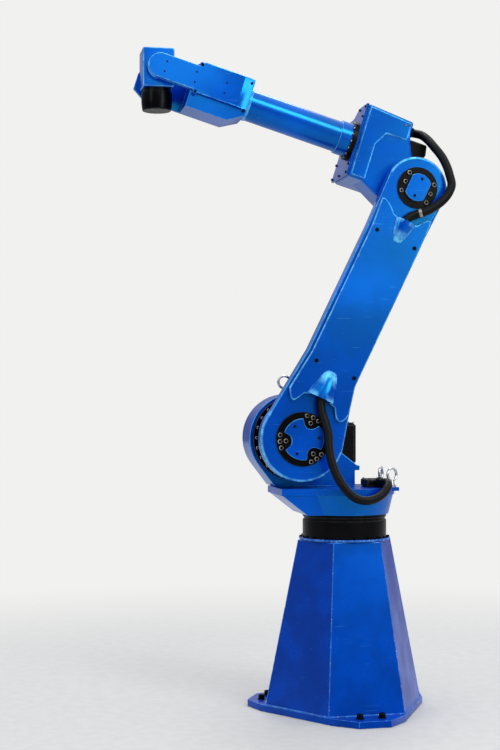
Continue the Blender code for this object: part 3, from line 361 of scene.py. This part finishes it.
# Material of each node and how far its edges are eased, in mm
easing = {
    "pedestal_flange": (sheetEnamel, 2.0), "pedestal_body": (sheetEnamel, 3.0),
    "pedestal_top_plate": (sheetEnamel, 1.0), "waist_gearbox_ring": (blackPaint, 1.2),
    "turntable": (castEnamel, 2.0), "shoulder_casting": (castEnamel, 2.5),
    "shoulder_gearbox_ring": (blackPaint, 1.0), "shoulder_motor_plate": (castEnamel, 1.2),
    "shoulder_motor": (motorBlack, 1.2), "waist_motor": (motorBlack, 1.5), "cable_entry_box": (motorBlack, 1.5),
    "rear_lifting_eye_a": (eyeSteel, 0.4), "rear_lifting_eye_b": (eyeSteel, 0.4),
    "drum_lifting_eye": (eyeSteel, 0.4), "upper_arm_casting": (castEnamel, 2.1),
    "upper_arm_cover": (castEnamel, 1.3), "shoulder_hub_ring": (blackPaint, 0.8),
    "shoulder_hub_cap": (castEnamel, 1.5), "elbow_hub_ring": (blackPaint, 0.8),
    "elbow_hub_cap": (castEnamel, 1.5), "elbow_casting": (castEnamel, 1.5),
    "elbow_front_plate": (sheetEnamel, 1.0), "elbow_gearbox_ring": (blackPaint, 0.8),
    "elbow_motor": (motorBlack, 1.2), "wrist_drive_motor": (motorBlack, 1.5),
    "forearm_bearing_ring": (blackPaint, 1.0), "forearm_tube": (castEnamel, 1.0),
    "wrist_housing": (castEnamel, 1.5), "wrist_cover_near": (castEnamel, 1.0),
    "wrist_cover_far": (castEnamel, 1.0), "wrist_block": (castEnamel, 1.0), "tool_flange": (blackPaint, 0.8),
}
for node, (material, width) in easing.items():
    dress(node, material, width)
print("castings dressed")


# Screws
def ringOf(bm, matrix, points):
    return [bm.verts.new(matrix @ Vector(p)) for p in points]


def bridge(bm, low, high, index):
    count = len(low)
    for i in range(count):
        face = bm.faces.new((low[i], low[(i + 1) % count], high[(i + 1) % count], high[i]))
        face.material_index = index


def hexPoint(i, count, flat):
    # Point i of count round a hexagon whose flats lie at distance flat
    angle = math.tau * i / count
    turn = (angle + math.pi / 6.0) % (math.pi / 3.0) - math.pi / 6.0
    reach = flat / math.cos(turn)
    return reach * math.cos(angle), reach * math.sin(angle)


def circle(radius, z, count):
    angles = [math.tau * i / count for i in range(count)]
    return [(radius * math.cos(a), radius * math.sin(a), z) for a in angles]


# Shares of the head's radius and height, unless a look gives its own; the washer's thickness is in mm
screwForm = {
    "sides": 24, "rim": 0.14, "face": 0.70, "socket": 0.50, "depth": 0.55, "turn": 0.7, "smooth": 35.0,
    "washerThick": 1.6, "washerRim": 0.2, "washerBore": 0.9,
}


def addScrew(bm, at, normal, look, turn):
    # Socket head cap screw: chamfered head with a hexagon socket; a washer lies under it if the look has one
    turned = Vector(normal).normalized().to_track_quat("Z", "Y").to_matrix().to_4x4()
    matrix = Matrix.Translation(at) @ turned @ Matrix.Rotation(turn, 4, "Z")
    form = screwForm
    count = form["sides"]
    radius, height = look["radius"] * mm, look["height"] * mm
    base = 0.0
    if look.get("washer"):
        wide, thick = look["washer"] * mm, form["washerThick"] * mm
        rim = form["washerRim"]
        levels = [(wide, 0.0), (wide, thick * (1.0 - rim)), (wide - thick * rim, thick)]
        levels.append((radius * form["washerBore"], thick))
        rings = [ringOf(bm, matrix, circle(r, z, count)) for r, z in levels]
        for low, high in zip(rings[:-1], rings[1:]):
            bridge(bm, low, high, 1)
        base = thick
    top = base + height
    chamfer = radius * look.get("rim", form["rim"])
    levels = [(radius, base), (radius, top - chamfer), (radius - chamfer, top), (radius * form["face"], top)]
    rings = [ringOf(bm, matrix, circle(r, z, count)) for r, z in levels]
    socket = radius * look.get("socket", form["socket"])
    for z in (top, top - height * form["depth"]):
        rings.append(ringOf(bm, matrix, [hexPoint(i, count, socket) + (z,) for i in range(count)]))
    # Slots: 0 the side and the face, 1 the rim, where the black screws' bright steel is a painted glint on the
    # chamfer, 2 inside the hexagon
    for low, high, slot in zip(rings[:-1], rings[1:], (0, 1, 1, 0, 2)):
        bridge(bm, low, high, slot)
    bottom = bm.faces.new(rings[-1])
    bottom.material_index = 2


def screwSet(name, body, places, look, materials):
    bm = bmesh.new()
    for k, (at, normal) in enumerate(places):
        addScrew(bm, at, normal, look, screwForm["turn"] * k)
    finish(name, bm, body, materials, screwForm["smooth"])


# Black screws keep a bright steel rim: a painted glint on each head's chamfer
blackScrew = (screwBlack, screwSteel, screwBlack)
plainBlack = (screwBlack, screwBlack, screwBlack)
brightScrew = (screwSteel, screwSteel, screwBlack)
plated = (eyeSteel, eyeSteel, screwBlack)


def aroundCircle(limb, centre, y, radius, angles):
    # Places on a circle in the limb's u-v plane, facing along y
    places = []
    for a in angles:
        a = math.radians(a)
        at = limbPoint(limb, centre + radius * math.cos(a), y, radius * math.sin(a))
        places.append((at, limbTurn(limb, (0, 1, 0))))
    return places


# Shoulder hub: four screws in each bite of the cap, three small ones in the cap
shoulderHub = {
    "ringTop": 0.1173, "capTop": 0.1276, "outer": 0.0770, "inner": 0.0570, "spread": 15.5, "capScrews": 0.0510,
    "screw": {"radius": 7.4, "height": 8.0, "socket": 0.46, "rim": 0.22},
    "small": {"radius": 4.6, "height": 2.4},
}
places = []
for bite in (0.0, 120.0, 240.0):
    for a in (-shoulderHub["spread"], 0.0, shoulderHub["spread"]):
        places += aroundCircle(armFrame, 0.0, shoulderHub["ringTop"], shoulderHub["outer"], [bite + a])
    places += aroundCircle(armFrame, 0.0, shoulderHub["ringTop"], shoulderHub["inner"], [bite])
screwSet("shoulder_hub_screws", "upper_arm", places, shoulderHub["screw"], blackScrew)
places = aroundCircle(armFrame, 0.0, shoulderHub["capTop"], shoulderHub["capScrews"], (60.0, 180.0, 300.0))
screwSet("shoulder_cap_screws", "upper_arm", places, shoulderHub["small"], plainBlack)

# Elbow hub: three screws on each flat side of the cap, two small ones on its long axis
elbowHub = {
    "ringTop": 0.1173, "capTop": 0.1276, "middle": 0.0460, "outer": 0.0560, "spread": 35.0, "capScrews": 0.0300,
    "screw": {"radius": 7.3, "height": 7.0, "socket": 0.44, "rim": 0.26},
}
places = []
for side in (90.0, 270.0):
    places += aroundCircle(armFrame, armLength, elbowHub["ringTop"], elbowHub["middle"], [side])
    pair = [side - elbowHub["spread"], side + elbowHub["spread"]]
    places += aroundCircle(armFrame, armLength, elbowHub["ringTop"], elbowHub["outer"], pair)
screwSet("elbow_hub_screws", "upper_arm", places, elbowHub["screw"], blackScrew)
places = aroundCircle(armFrame, armLength, elbowHub["capTop"], elbowHub["capScrews"], (0.0, 180.0))
screwSet("elbow_cap_screws", "upper_arm", places, shoulderHub["small"], plainBlack)

# Screws that hold the arm's long cover
coverScrews = {
    "face": 0.1283, "places": ((0.2470, -0.0690), (0.2485, 0.0675), (0.7180, -0.0663), (0.7177, 0.0718)),
    "screw": {"radius": 6.6, "height": 3.0},
}
places = [(limbPoint(armFrame, u, coverScrews["face"], v), (0, 1, 0)) for u, v in coverScrews["places"]]
screwSet("arm_cover_screws", "upper_arm", places, coverScrews["screw"], plainBlack)

# Screws in the gap between the shoulder casting and the arm
gapScrews = {
    "face": -0.0060, "radius": 0.1290, "count": 24, "first": 1.3, "screw": {"radius": 4.7, "height": 7.0},
}
places = []
for k in range(gapScrews["count"]):
    a = math.radians(gapScrews["first"] + 360.0 / gapScrews["count"] * k)
    reach = gapScrews["radius"]
    at = Vector(armFrame["at"]) + Vector((reach * math.cos(a), gapScrews["face"], reach * math.sin(a)))
    places.append((at, (0, 1, 0)))
screwSet("shoulder_ring_screws", "turret", places, gapScrews["screw"], plated)

# Anchor screws: two in each ear of the pedestal's flange
anchors = {
    "top": 0.022, "reach": 0.2740, "half": 0.0365, "ears": (93.5, 213.5, 333.5),
    "screw": {"radius": 10.5, "height": 14.0, "washer": 14.0},
}
places = []
for ear in anchors["ears"]:
    outward = Vector((math.cos(math.radians(ear)), math.sin(math.radians(ear)), 0.0))
    aside = Vector((-outward.y, outward.x, 0.0))
    for side in (-1.0, 1.0):
        at = outward * anchors["reach"] + aside * (side * anchors["half"]) + Vector((0, 0, anchors["top"]))
        places.append((at, (0, 0, 1)))
screwSet("anchor_screws", "base", places, anchors["screw"], plainBlack)

# Small screws round the pedestal's top plate
plateScrews = {"top": 0.566, "radius": 0.1440, "count": 18, "screw": {"radius": 4.8, "height": 5.0}}
places = []
for k in range(plateScrews["count"]):
    a = math.tau * (k + 0.5) / plateScrews["count"]
    reach = plateScrews["radius"]
    places.append((Vector((reach * math.cos(a), reach * math.sin(a), plateScrews["top"])), (0, 0, 1)))
screwSet("top_plate_screws", "base", places, plateScrews["screw"], plainBlack)


def facing(limb, way, places):
    return [(limbPoint(limb, *p), limbTurn(limb, way)) for p in places]


def roundFace(limb, axis, centre, radius, count, way):
    # Places on a bolt circle; axis 0 looks along the limb, axis 1 across it
    places = []
    for k in range(count):
        a = math.tau * (k + 0.5) / count
        c, d = radius * math.cos(a), radius * math.sin(a)
        u, y = (centre[0], centre[1] + c) if axis == 0 else (centre[0] + c, centre[1])
        places.append((u, y, centre[2] + d))
    return facing(limb, way, places)


# Screws of the elbow's front plate, its bearing ring and the small fittings on the casting
elbowScrews = {
    "plate": 0.2280, "near": 0.0385, "far": -0.1480, "nearRows": (0.2180, 0.1840, 0.0180, -0.0110),
    "farRows": (0.1870, 0.1100, 0.0400, -0.0110), "between": ((-0.0350, 0.2180), (-0.0560, -0.0110)),
    "ringFace": 0.2443, "ringRadius": 0.0612, "ringCount": 16, "ringCentre": 0.100,
    "bolt": {"radius": 4.4, "height": 5.0}, "ringBolt": {"radius": 3.3, "height": 3.2},
}
places = [(elbowScrews["plate"], elbowScrews["near"], v) for v in elbowScrews["nearRows"]]
places += [(elbowScrews["plate"], elbowScrews["far"], v) for v in elbowScrews["farRows"]]
places += [(elbowScrews["plate"], y, v) for y, v in elbowScrews["between"]]
screwSet("elbow_plate_screws", "elbow", facing(elbowFrame, (1, 0, 0), places), elbowScrews["bolt"], blackScrew)
centre = (elbowScrews["ringFace"], 0.0, elbowScrews["ringCentre"])
places = roundFace(elbowFrame, 0, centre, elbowScrews["ringRadius"], elbowScrews["ringCount"], (1, 0, 0))
screwSet("bearing_ring_screws", "elbow", places, elbowScrews["ringBolt"], brightScrew)
fittings = {
    "face": 0.0489, "places": ((0.0840, 0.2010), (0.0680, 0.2065)), "screw": {"radius": 3.4, "height": 4.5},
}
places = [(u, fittings["face"], v) for u, v in fittings["places"]]
screwSet("elbow_fittings", "elbow", facing(elbowFrame, (0, 1, 0), places), fittings["screw"], blackScrew)

# Wrist covers: a screw in each corner, the rear pair on the sloped end, and small ones along the middle
wristScrews = {
    "face": 0.0863, "corners": ((0.7880, 0.0555), (0.7850, -0.0365)),
    "slopeFace": 0.0775, "slopeCorners": ((0.6160, 0.0530), (0.6160, -0.0400)), "slope": (-0.301, 0.954),
    "middle": (
        (0.8975, 0.0265), (0.8965, -0.0064), (0.7975, 0.0258), (0.7945, -0.0074), (0.6945, 0.0252),
        (0.6930, -0.0088),
    ),
    "screw": {"radius": 4.6, "height": 2.6}, "small": {"radius": 2.9, "height": 1.3},
}
wristSides = ((1.0, "near"), (-1.0, "far"))


def onWrist(side, face, points):
    return [(u, side * face, v) for u, v in points]


for side, name in wristSides:
    places = facing(rollFrame, (0, side, 0), onWrist(side, wristScrews["face"], wristScrews["corners"]))
    way = (wristScrews["slope"][0], side * wristScrews["slope"][1], 0.0)
    places += facing(rollFrame, way, onWrist(side, wristScrews["slopeFace"], wristScrews["slopeCorners"]))
    screwSet("wrist_cover_%s_screws" % name, "forearm", places, wristScrews["screw"], plainBlack)
    places = facing(rollFrame, (0, side, 0), onWrist(side, wristScrews["face"], wristScrews["middle"]))
    screwSet("wrist_cover_%s_pins" % name, "forearm", places, wristScrews["small"], plainBlack)

# Round lugs of the wrist covers' front corners, under their screws
lug = {"radius": 7.6, "back": 0.0745, "chamfer": 1.0, "sides": 32, "smooth": 40.0}
for side, name in wristSides:
    bm = bmesh.new()
    face = wristScrews["face"]
    for u, v in wristScrews["corners"]:
        rings = []
        for shrink, y in ((0.0, lug["back"]), (0.0, face - lug["chamfer"] * mm), (lug["chamfer"], face)):
            outline = circle((lug["radius"] - shrink) * mm, side * y, lug["sides"])
            rings.append(ringOf(bm, frameMatrix(rollFrame), [(u + c, at, v + d) for c, d, at in outline]))
        for low, high in zip(rings[:-1], rings[1:]):
            bridge(bm, low, high, 0)
        bm.faces.new(rings[-1])
    bmesh.ops.recalc_face_normals(bm, faces=bm.faces)
    finish("wrist_cover_%s_lugs" % name, bm, "forearm", [castEnamel], lug["smooth"])

# Tool flange, motors and the entry box
flangeScrews = {
    "face": -0.1243, "radius": 0.0310, "count": 8, "screw": {"radius": 3.4, "height": 0.9, "socket": 0.62},
}
places = []
for k in range(flangeScrews["count"]):
    a = math.tau * (k + 0.5) / flangeScrews["count"]
    reach = flangeScrews["radius"]
    places.append((reach * math.cos(a), reach * math.sin(a), flangeScrews["face"]))
screwSet("tool_flange_screws", "flange", facing(bendFrame, (0, 0, -1), places), flangeScrews["screw"], brightScrew)
motorScrews = {
    "plateFace": -0.1863, "plateRadius": 0.1060, "plateCount": 12,
    "elbowEnd": -0.2003, "elbowRadius": 0.0360, "elbowCount": 4,
    "waist": [(x, y, 0.9403) for x in (-0.0510, -0.0070) for y in (-0.1490, -0.0770)],
    "entry": [(x, y, 0.7563) for x in (-0.1190, -0.0710) for y in (-0.0210, 0.0510)],
    "bolt": {"radius": 4.4, "height": 4.4}, "small": {"radius": 2.8, "height": 2.4},
}
centre = (0.0, motorScrews["plateFace"], 0.0)
places = roundFace(armFrame, 1, centre, motorScrews["plateRadius"], motorScrews["plateCount"], (0, -1, 0))
screwSet("shoulder_plate_screws", "turret", places, motorScrews["bolt"], blackScrew)
centre = (0.0, motorScrews["elbowEnd"], 0.0)
places = roundFace(elbowFrame, 1, centre, motorScrews["elbowRadius"], motorScrews["elbowCount"], (0, -1, 0))
screwSet("elbow_motor_screws", "elbow", places, motorScrews["small"], brightScrew)
places = facing(worldFrame, (0, 0, 1), motorScrews["waist"])
screwSet("waist_motor_screws", "turret", places, motorScrews["small"], brightScrew)
places = facing(worldFrame, (0, 0, 1), motorScrews["entry"])
screwSet("entry_box_screws", "turret", places, motorScrews["small"], plainBlack)
print("screws set")


# Hoses: extruded polyamide conduit with fine rings, held by glands
hoseLook = {"radius": 14.0, "rib": 0.35, "pitch": 3.6, "step": 0.9, "sides": 20}
shoulderRoute = [
    (-0.068, 0.129, 0.1501), (-0.0588, 0.129, 0.1305), (-0.0565, 0.13, 0.111), (-0.0595, 0.135, 0.083),
    (-0.0675, 0.144, 0.053), (-0.075, 0.153, 0.016), (-0.075, 0.161, -0.021), (-0.08, 0.168, -0.061),
    (-0.09, 0.173, -0.096), (-0.107, 0.18, -0.133), (-0.129, 0.186, -0.164), (-0.157, 0.188, -0.187),
    (-0.191, 0.185, -0.195), (-0.223, 0.178, -0.19), (-0.25, 0.168, -0.176), (-0.27, 0.153, -0.155),
    (-0.276, 0.129, -0.142), (-0.273, 0.1, -0.1425), (-0.27, 0.08, -0.1442), (-0.27, 0.0606, -0.1445),
]
elbowRoute = [
    (0.0533, 0.129, -0.1321), (0.0441, 0.129, -0.1126), (0.0299, 0.131, -0.0985), (0.0134, 0.135, -0.0905),
    (-0.0041, 0.141, -0.0855), (-0.0221, 0.146, -0.0795), (-0.0461, 0.15, -0.0665),
    (-0.0741, 0.149, -0.0455), (-0.0961, 0.144, -0.0205), (-0.1091, 0.138, 0.0095), (-0.105, 0.13, 0.0425),
    (-0.099, 0.118, 0.0735), (-0.088, 0.098, 0.1085), (-0.072, 0.07, 0.1425), (-0.059, 0.035, 0.1735),
    (-0.045, 0.006, 0.193), (-0.02418, -0.015, 0.20205), (-0.00661, -0.015, 0.20752),
]


def fromJoint(joint, route):
    return [tuple(Vector(jointAt[joint]) + Vector(p)) for p in route]


# Points between two of the route's points
curveSamples = 40


def smoothPath(points, step):
    # Curve that runs smoothly through the points, read at even steps
    points = [Vector(p) for p in points]
    padded = [points[0] * 2.0 - points[1]] + points + [points[-1] * 2.0 - points[-2]]
    dense = []
    for a, b, c, d in zip(padded[:-3], padded[1:-2], padded[2:-1], padded[3:]):
        for k in range(curveSamples):
            t = k / curveSamples
            squared = (2.0 * a - 5.0 * b + 4.0 * c - d) * t**2
            cubed = (3.0 * b - a - 3.0 * c + d) * t**3
            dense.append(0.5 * (2.0 * b + (c - a) * t + squared + cubed))
    dense.append(points[-1])
    lengths = [0.0]
    for p, q in zip(dense[:-1], dense[1:]):
        lengths.append(lengths[-1] + (q - p).length)
    count = max(2, round(lengths[-1] / step))
    even, k = [], 0
    for n in range(count + 1):
        target = lengths[-1] * n / count
        while k < len(lengths) - 2 and lengths[k + 1] < target:
            k += 1
        share = (target - lengths[k]) / max(1e-9, lengths[k + 1] - lengths[k])
        even.append(dense[k].lerp(dense[k + 1], min(1.0, share)))
    return even, lengths[-1]


def sweep(bm, path, radii, sides, index=0):
    # Round tube along the path, its frame carried from ring to ring
    tangent = (path[1] - path[0]).normalized()
    side = tangent.orthogonal().normalized()
    rings = []
    for k, p in enumerate(path):
        ahead = (path[min(k + 1, len(path) - 1)] - path[max(k - 1, 0)]).normalized()
        side = (side - ahead * side.dot(ahead)).normalized()
        other = ahead.cross(side)
        outline = circle(1.0, 0.0, sides)
        rings.append([bm.verts.new(p + (side * c + other * d) * radii[k]) for c, d, z in outline])
    for low, high in zip(rings[:-1], rings[1:]):
        bridge(bm, low, high, index)
    for ring, flip in ((rings[0], True), (rings[-1], False)):
        face = bm.faces.new(ring[::-1] if flip else ring)
        face.material_index = index


def makeHose(name, route, node, sleeve=None):
    path, length = smoothPath(route, hoseLook["step"] * mm)
    radii = []
    for k in range(len(path)):
        phase = length * k / (len(path) - 1) / (hoseLook["pitch"] * mm)
        radii.append((hoseLook["radius"] + hoseLook["rib"] * math.cos(math.tau * phase)) * mm)
    bm = bmesh.new()
    sweep(bm, path, radii, hoseLook["sides"])
    if sleeve:
        # Bright crimped sleeve round the hose, part of the same mesh
        first, last = [round(reach * mm / length * (len(path) - 1)) for reach in sleeve["reach"]]
        wide = [sleeve["radius"] * mm] * (last - first + 1)
        wide[0] = wide[-1] = (sleeve["radius"] - sleeve["chamfer"]) * mm
        sweep(bm, path[first : last + 1], wide, hoseLook["sides"], 1)
    bmesh.ops.recalc_face_normals(bm, faces=bm.faces)
    mesh = bpy.data.meshes.new(name)
    bm.to_mesh(mesh)
    bm.free()
    mesh.materials.append(conduitBlack)
    mesh.materials.append(screwSteel)
    mesh.shade_smooth()
    piece = bpy.data.objects.new(name, mesh)
    bpy.context.scene.collection.objects.link(piece)
    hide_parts(node)
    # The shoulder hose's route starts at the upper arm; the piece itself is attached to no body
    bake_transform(piece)
    return path


elbowSleeve = {"reach": (74.0, 84.0), "radius": 15.0, "chamfer": 0.5}
shoulderPath = makeHose(
    "shoulder_hose_conduit", fromJoint("shoulder", shoulderRoute), "shoulder_hose"
)
elbowPath = makeHose(
    "elbow_hose_conduit", fromJoint("elbow", elbowRoute), "elbow_hose", elbowSleeve
)
print("hoses made")


# Turned gland on a hose's end: distance from the end and radius of each ring
gland = {
    "profile": (
        (0.0, 17.5), (0.3, 18.0), (7.0, 18.0), (7.6, 17.2), (8.6, 16.2), (9.4, 16.8), (16.0, 16.8), (17.2, 15.4),
        (18.0, 14.9),
    ),
    "lead": 8, "sides": 32, "smooth": 35.0,
}


def addGland(name, body, hosePath):
    at = hosePath[-1]
    direction = (hosePath[-gland["lead"]] - at).normalized()
    bm = bmesh.new()
    path = [at + direction * (along * mm) for along, radius in gland["profile"]]
    radii = [radius * mm for along, radius in gland["profile"]]
    sweep(bm, path, radii, gland["sides"])
    bmesh.ops.recalc_face_normals(bm, faces=bm.faces)
    finish(name, bm, body, [motorBlack], gland["smooth"])


addGland("elbow_hose_gland", "elbow", elbowPath)
addGland("shoulder_hose_gland", "turret", shoulderPath)
print("glands made")

# Weld beads: along the plinth's six corners and round its foot
plinth = {
    "turn": 3.5, "foot": (0.2351, 0.2270, 0.0223), "head": (0.1375, 0.1375, 0.5580), "corner": 1.5, "cornerIn": 1.0,
    "footBead": 2.6, "ripple": 0.10, "slowRipple": 0.6, "slowPitch": 0.137, "pitch": 4.4, "step": 1.5, "sides": 8,
    "smooth": 60.0,
}


def plinthCorner(i, ear, flush, height):
    # Corner between face i and the next one; every other face has a bolt ear below it
    here, after = (ear, flush) if i % 2 == 0 else (flush, ear)
    angle = math.radians(90.0 + 60.0 * i + plinth["turn"])
    normal = Vector((math.cos(angle), math.sin(angle), 0.0))
    tangent = Vector((-normal.y, normal.x, 0.0))
    sideways = (after - here * math.cos(math.pi / 3.0)) / math.sin(math.pi / 3.0)
    return normal * here + tangent * sideways + Vector((0.0, 0.0, height))


def addBead(bm, start, end, radius):
    length = (end - start).length
    count = round(length / (plinth["step"] * mm))
    path = [start.lerp(end, k / count) for k in range(count + 1)]
    radii = []
    for k in range(count + 1):
        phase = math.tau * length * k / count / (plinth["pitch"] * mm)
        slow = plinth["ripple"] * plinth["slowRipple"] * math.cos(phase * plinth["slowPitch"])
        radii.append(radius * mm * (1.0 + plinth["ripple"] * math.cos(phase) + slow))
    sweep(bm, path, radii, plinth["sides"])


bm = bmesh.new()
for i in range(6):
    low, high = plinthCorner(i, *plinth["foot"]), plinthCorner(i, *plinth["head"])
    inward = Vector((-low.x, -low.y, 0.0)).normalized() * (plinth["cornerIn"] * mm)
    addBead(bm, low + inward, high + inward, plinth["corner"])
    addBead(bm, low, plinthCorner((i + 1) % 6, *plinth["foot"]), plinth["footBead"])
# Every point of the beads is marked as an edge, so the enamel paints them paler in patches: partly wear, partly a
# painted highlight along the corners
layer = bm.verts.layers.float.new("edge")
for vert in bm.verts:
    vert[layer] = 1.0
bmesh.ops.recalc_face_normals(bm, faces=bm.faces)
finish("plinth_weld_beads", bm, "base", [sheetEnamel], plinth["smooth"])
print("welds laid")

# Floor, lamps and camera
studio = {
    "floor": "#c3c3c1", "speck": "#bebebc", "back": "#f1f1ef", "sky": "#f5f7fb", "fade": (1.2, 3.6),
    "grainMm": 40, "grainDetail": 4.0, "grain": (0.3, 0.7), "roughness": 0.85, "gloss": 0.2, "radius": 14.0,
    "segments": 96, "drop": 0.0005, "low": 0.24, "high": 1.25, "dimBelow": 0.12, "brightAbove": 0.45,
    "lamps": (
        ("overhead", (-0.95, 2.7, 3.9), (-0.1, 0.0, 1.9), 1.3, 38.0),
        ("key", (-1.15, 4.3, 1.85), (0.0, 0.0, 1.2), 0.8, 2.4),
        ("wristKey", (-0.05, 4.3, 2.96), (0.3, 0.0, 1.9), 0.7, 2.4),
        ("side", (-2.38, 3.82, 2.26), (0.0, 0.0, 1.3), 1.3, 40.0),
        ("frontLeft", (3.4, 2.4, 2.8), (0.0, 0.0, 1.2), 0.9, 12.0),
        ("rear", (-0.5, -2.4, 5.0), (0.0, 0.0, 1.3), 1.6, 60.0),
    ),
}


def seenDirectly(tree):
    # 1 for rays from the camera, also through glass, 0 for light on the object
    rays = addNode(tree, "ShaderNodeLightPath")
    inputs = {0: rays.outputs["Is Camera Ray"], 1: rays.outputs["Is Transmission Ray"]}
    return addNode(tree, "ShaderNodeMath", inputs, operation="MAXIMUM").outputs[0]


# Pale sealed concrete that fades into the backdrop away from the object
floorMaterial, tree, shader, place = newMaterial("paleMattFloor")
inputs = {"Vector": place, "Scale": perMetre(studio["grainMm"]), "Detail": studio["grainDetail"]}
grain = addNode(tree, "ShaderNodeTexNoise", inputs).outputs["Fac"]
tone = mixColour(tree, ramp(tree, grain, *studio["grain"]), linear(studio["floor"]), linear(studio["speck"]))
tree.links.new(tone, shader.inputs["Base Color"])
shader.inputs["Roughness"].default_value = studio["roughness"]
shader.inputs["Specular IOR Level"].default_value = studio["gloss"]
distance = addNode(tree, "ShaderNodeVectorMath", {0: place}, operation="LENGTH")
far = ramp(tree, distance.outputs["Value"], *studio["fade"])
share = addNode(tree, "ShaderNodeMath", {0: far, 1: seenDirectly(tree)}, operation="MULTIPLY")
glow = addNode(tree, "ShaderNodeEmission", {"Color": linear(studio["back"]), "Strength": 1.0})
faded = addNode(tree, "ShaderNodeMixShader", {0: share.outputs[0], 1: shader.outputs[0], 2: glow.outputs[0]})
output = next(n for n in tree.nodes if n.type == "OUTPUT_MATERIAL")
tree.links.new(faded.outputs[0], output.inputs["Surface"])
bm = bmesh.new()
bmesh.ops.create_circle(bm, cap_ends=True, segments=studio["segments"], radius=studio["radius"])
mesh = bpy.data.meshes.new("floor")
bm.to_mesh(mesh)
bm.free()
mesh.materials.append(floorMaterial)
floor = bpy.data.objects.new("floor", mesh)
floor.location = (0.0, 0.0, -studio["drop"])
bpy.context.scene.collection.objects.link(floor)

world = bpy.data.worlds.new("studio")
bpy.context.scene.world = world
world.use_nodes = True
tree = world.node_tree
tree.nodes.clear()
# The hall's light comes from its roof: dim at eye level, bright overhead
way = addNode(tree, "ShaderNodeSeparateXYZ", {0: addNode(tree, "ShaderNodeTexCoord").outputs["Generated"]})
heights = (studio["dimBelow"], studio["brightAbove"])
strength = ramp(tree, way.outputs["Z"], *heights, (studio["low"], studio["high"]))
lit = addNode(tree, "ShaderNodeBackground", {"Color": linear(studio["sky"]), "Strength": strength})
back = addNode(tree, "ShaderNodeBackground", {"Color": linear(studio["back"]), "Strength": 1.0})
mixed = addNode(tree, "ShaderNodeMixShader", {0: seenDirectly(tree), 1: lit.outputs[0], 2: back.outputs[0]})
addNode(tree, "ShaderNodeOutputWorld", {"Surface": mixed.outputs[0]})

for name, at, aim, size, power in studio["lamps"]:
    lamp = bpy.data.lights.new(name, "AREA")
    lamp.shape = "SQUARE"
    lamp.size = size
    lamp.energy = power
    item = bpy.data.objects.new(name, lamp)
    item.location = at
    item.rotation_euler = (Vector(aim) - Vector(at)).to_track_quat("-Z", "Y").to_euler()
    bpy.context.scene.collection.objects.link(item)

view = {"at": (1.230, 4.877, 1.02), "ahead": (-0.184, -0.983), "rise": 0.9, "lens": 72.8, "sensor": 36.0}
camera = bpy.data.cameras.new("camera")
camera.sensor_fit = "VERTICAL"
camera.sensor_height = view["sensor"]
camera.lens = view["lens"]
cameraItem = bpy.data.objects.new("camera", camera)
cameraItem.location = view["at"]
flat = Vector((view["ahead"][0], view["ahead"][1], 0.0)).normalized()
aim = flat + Vector((0.0, 0.0, math.tan(math.radians(view["rise"]))))
cameraItem.rotation_euler = aim.to_track_quat("-Z", "Y").to_euler()
bpy.context.scene.collection.objects.link(cameraItem)
bpy.context.scene.camera = cameraItem
bpy.context.scene.view_settings.view_transform = "Standard"
print("studio set")
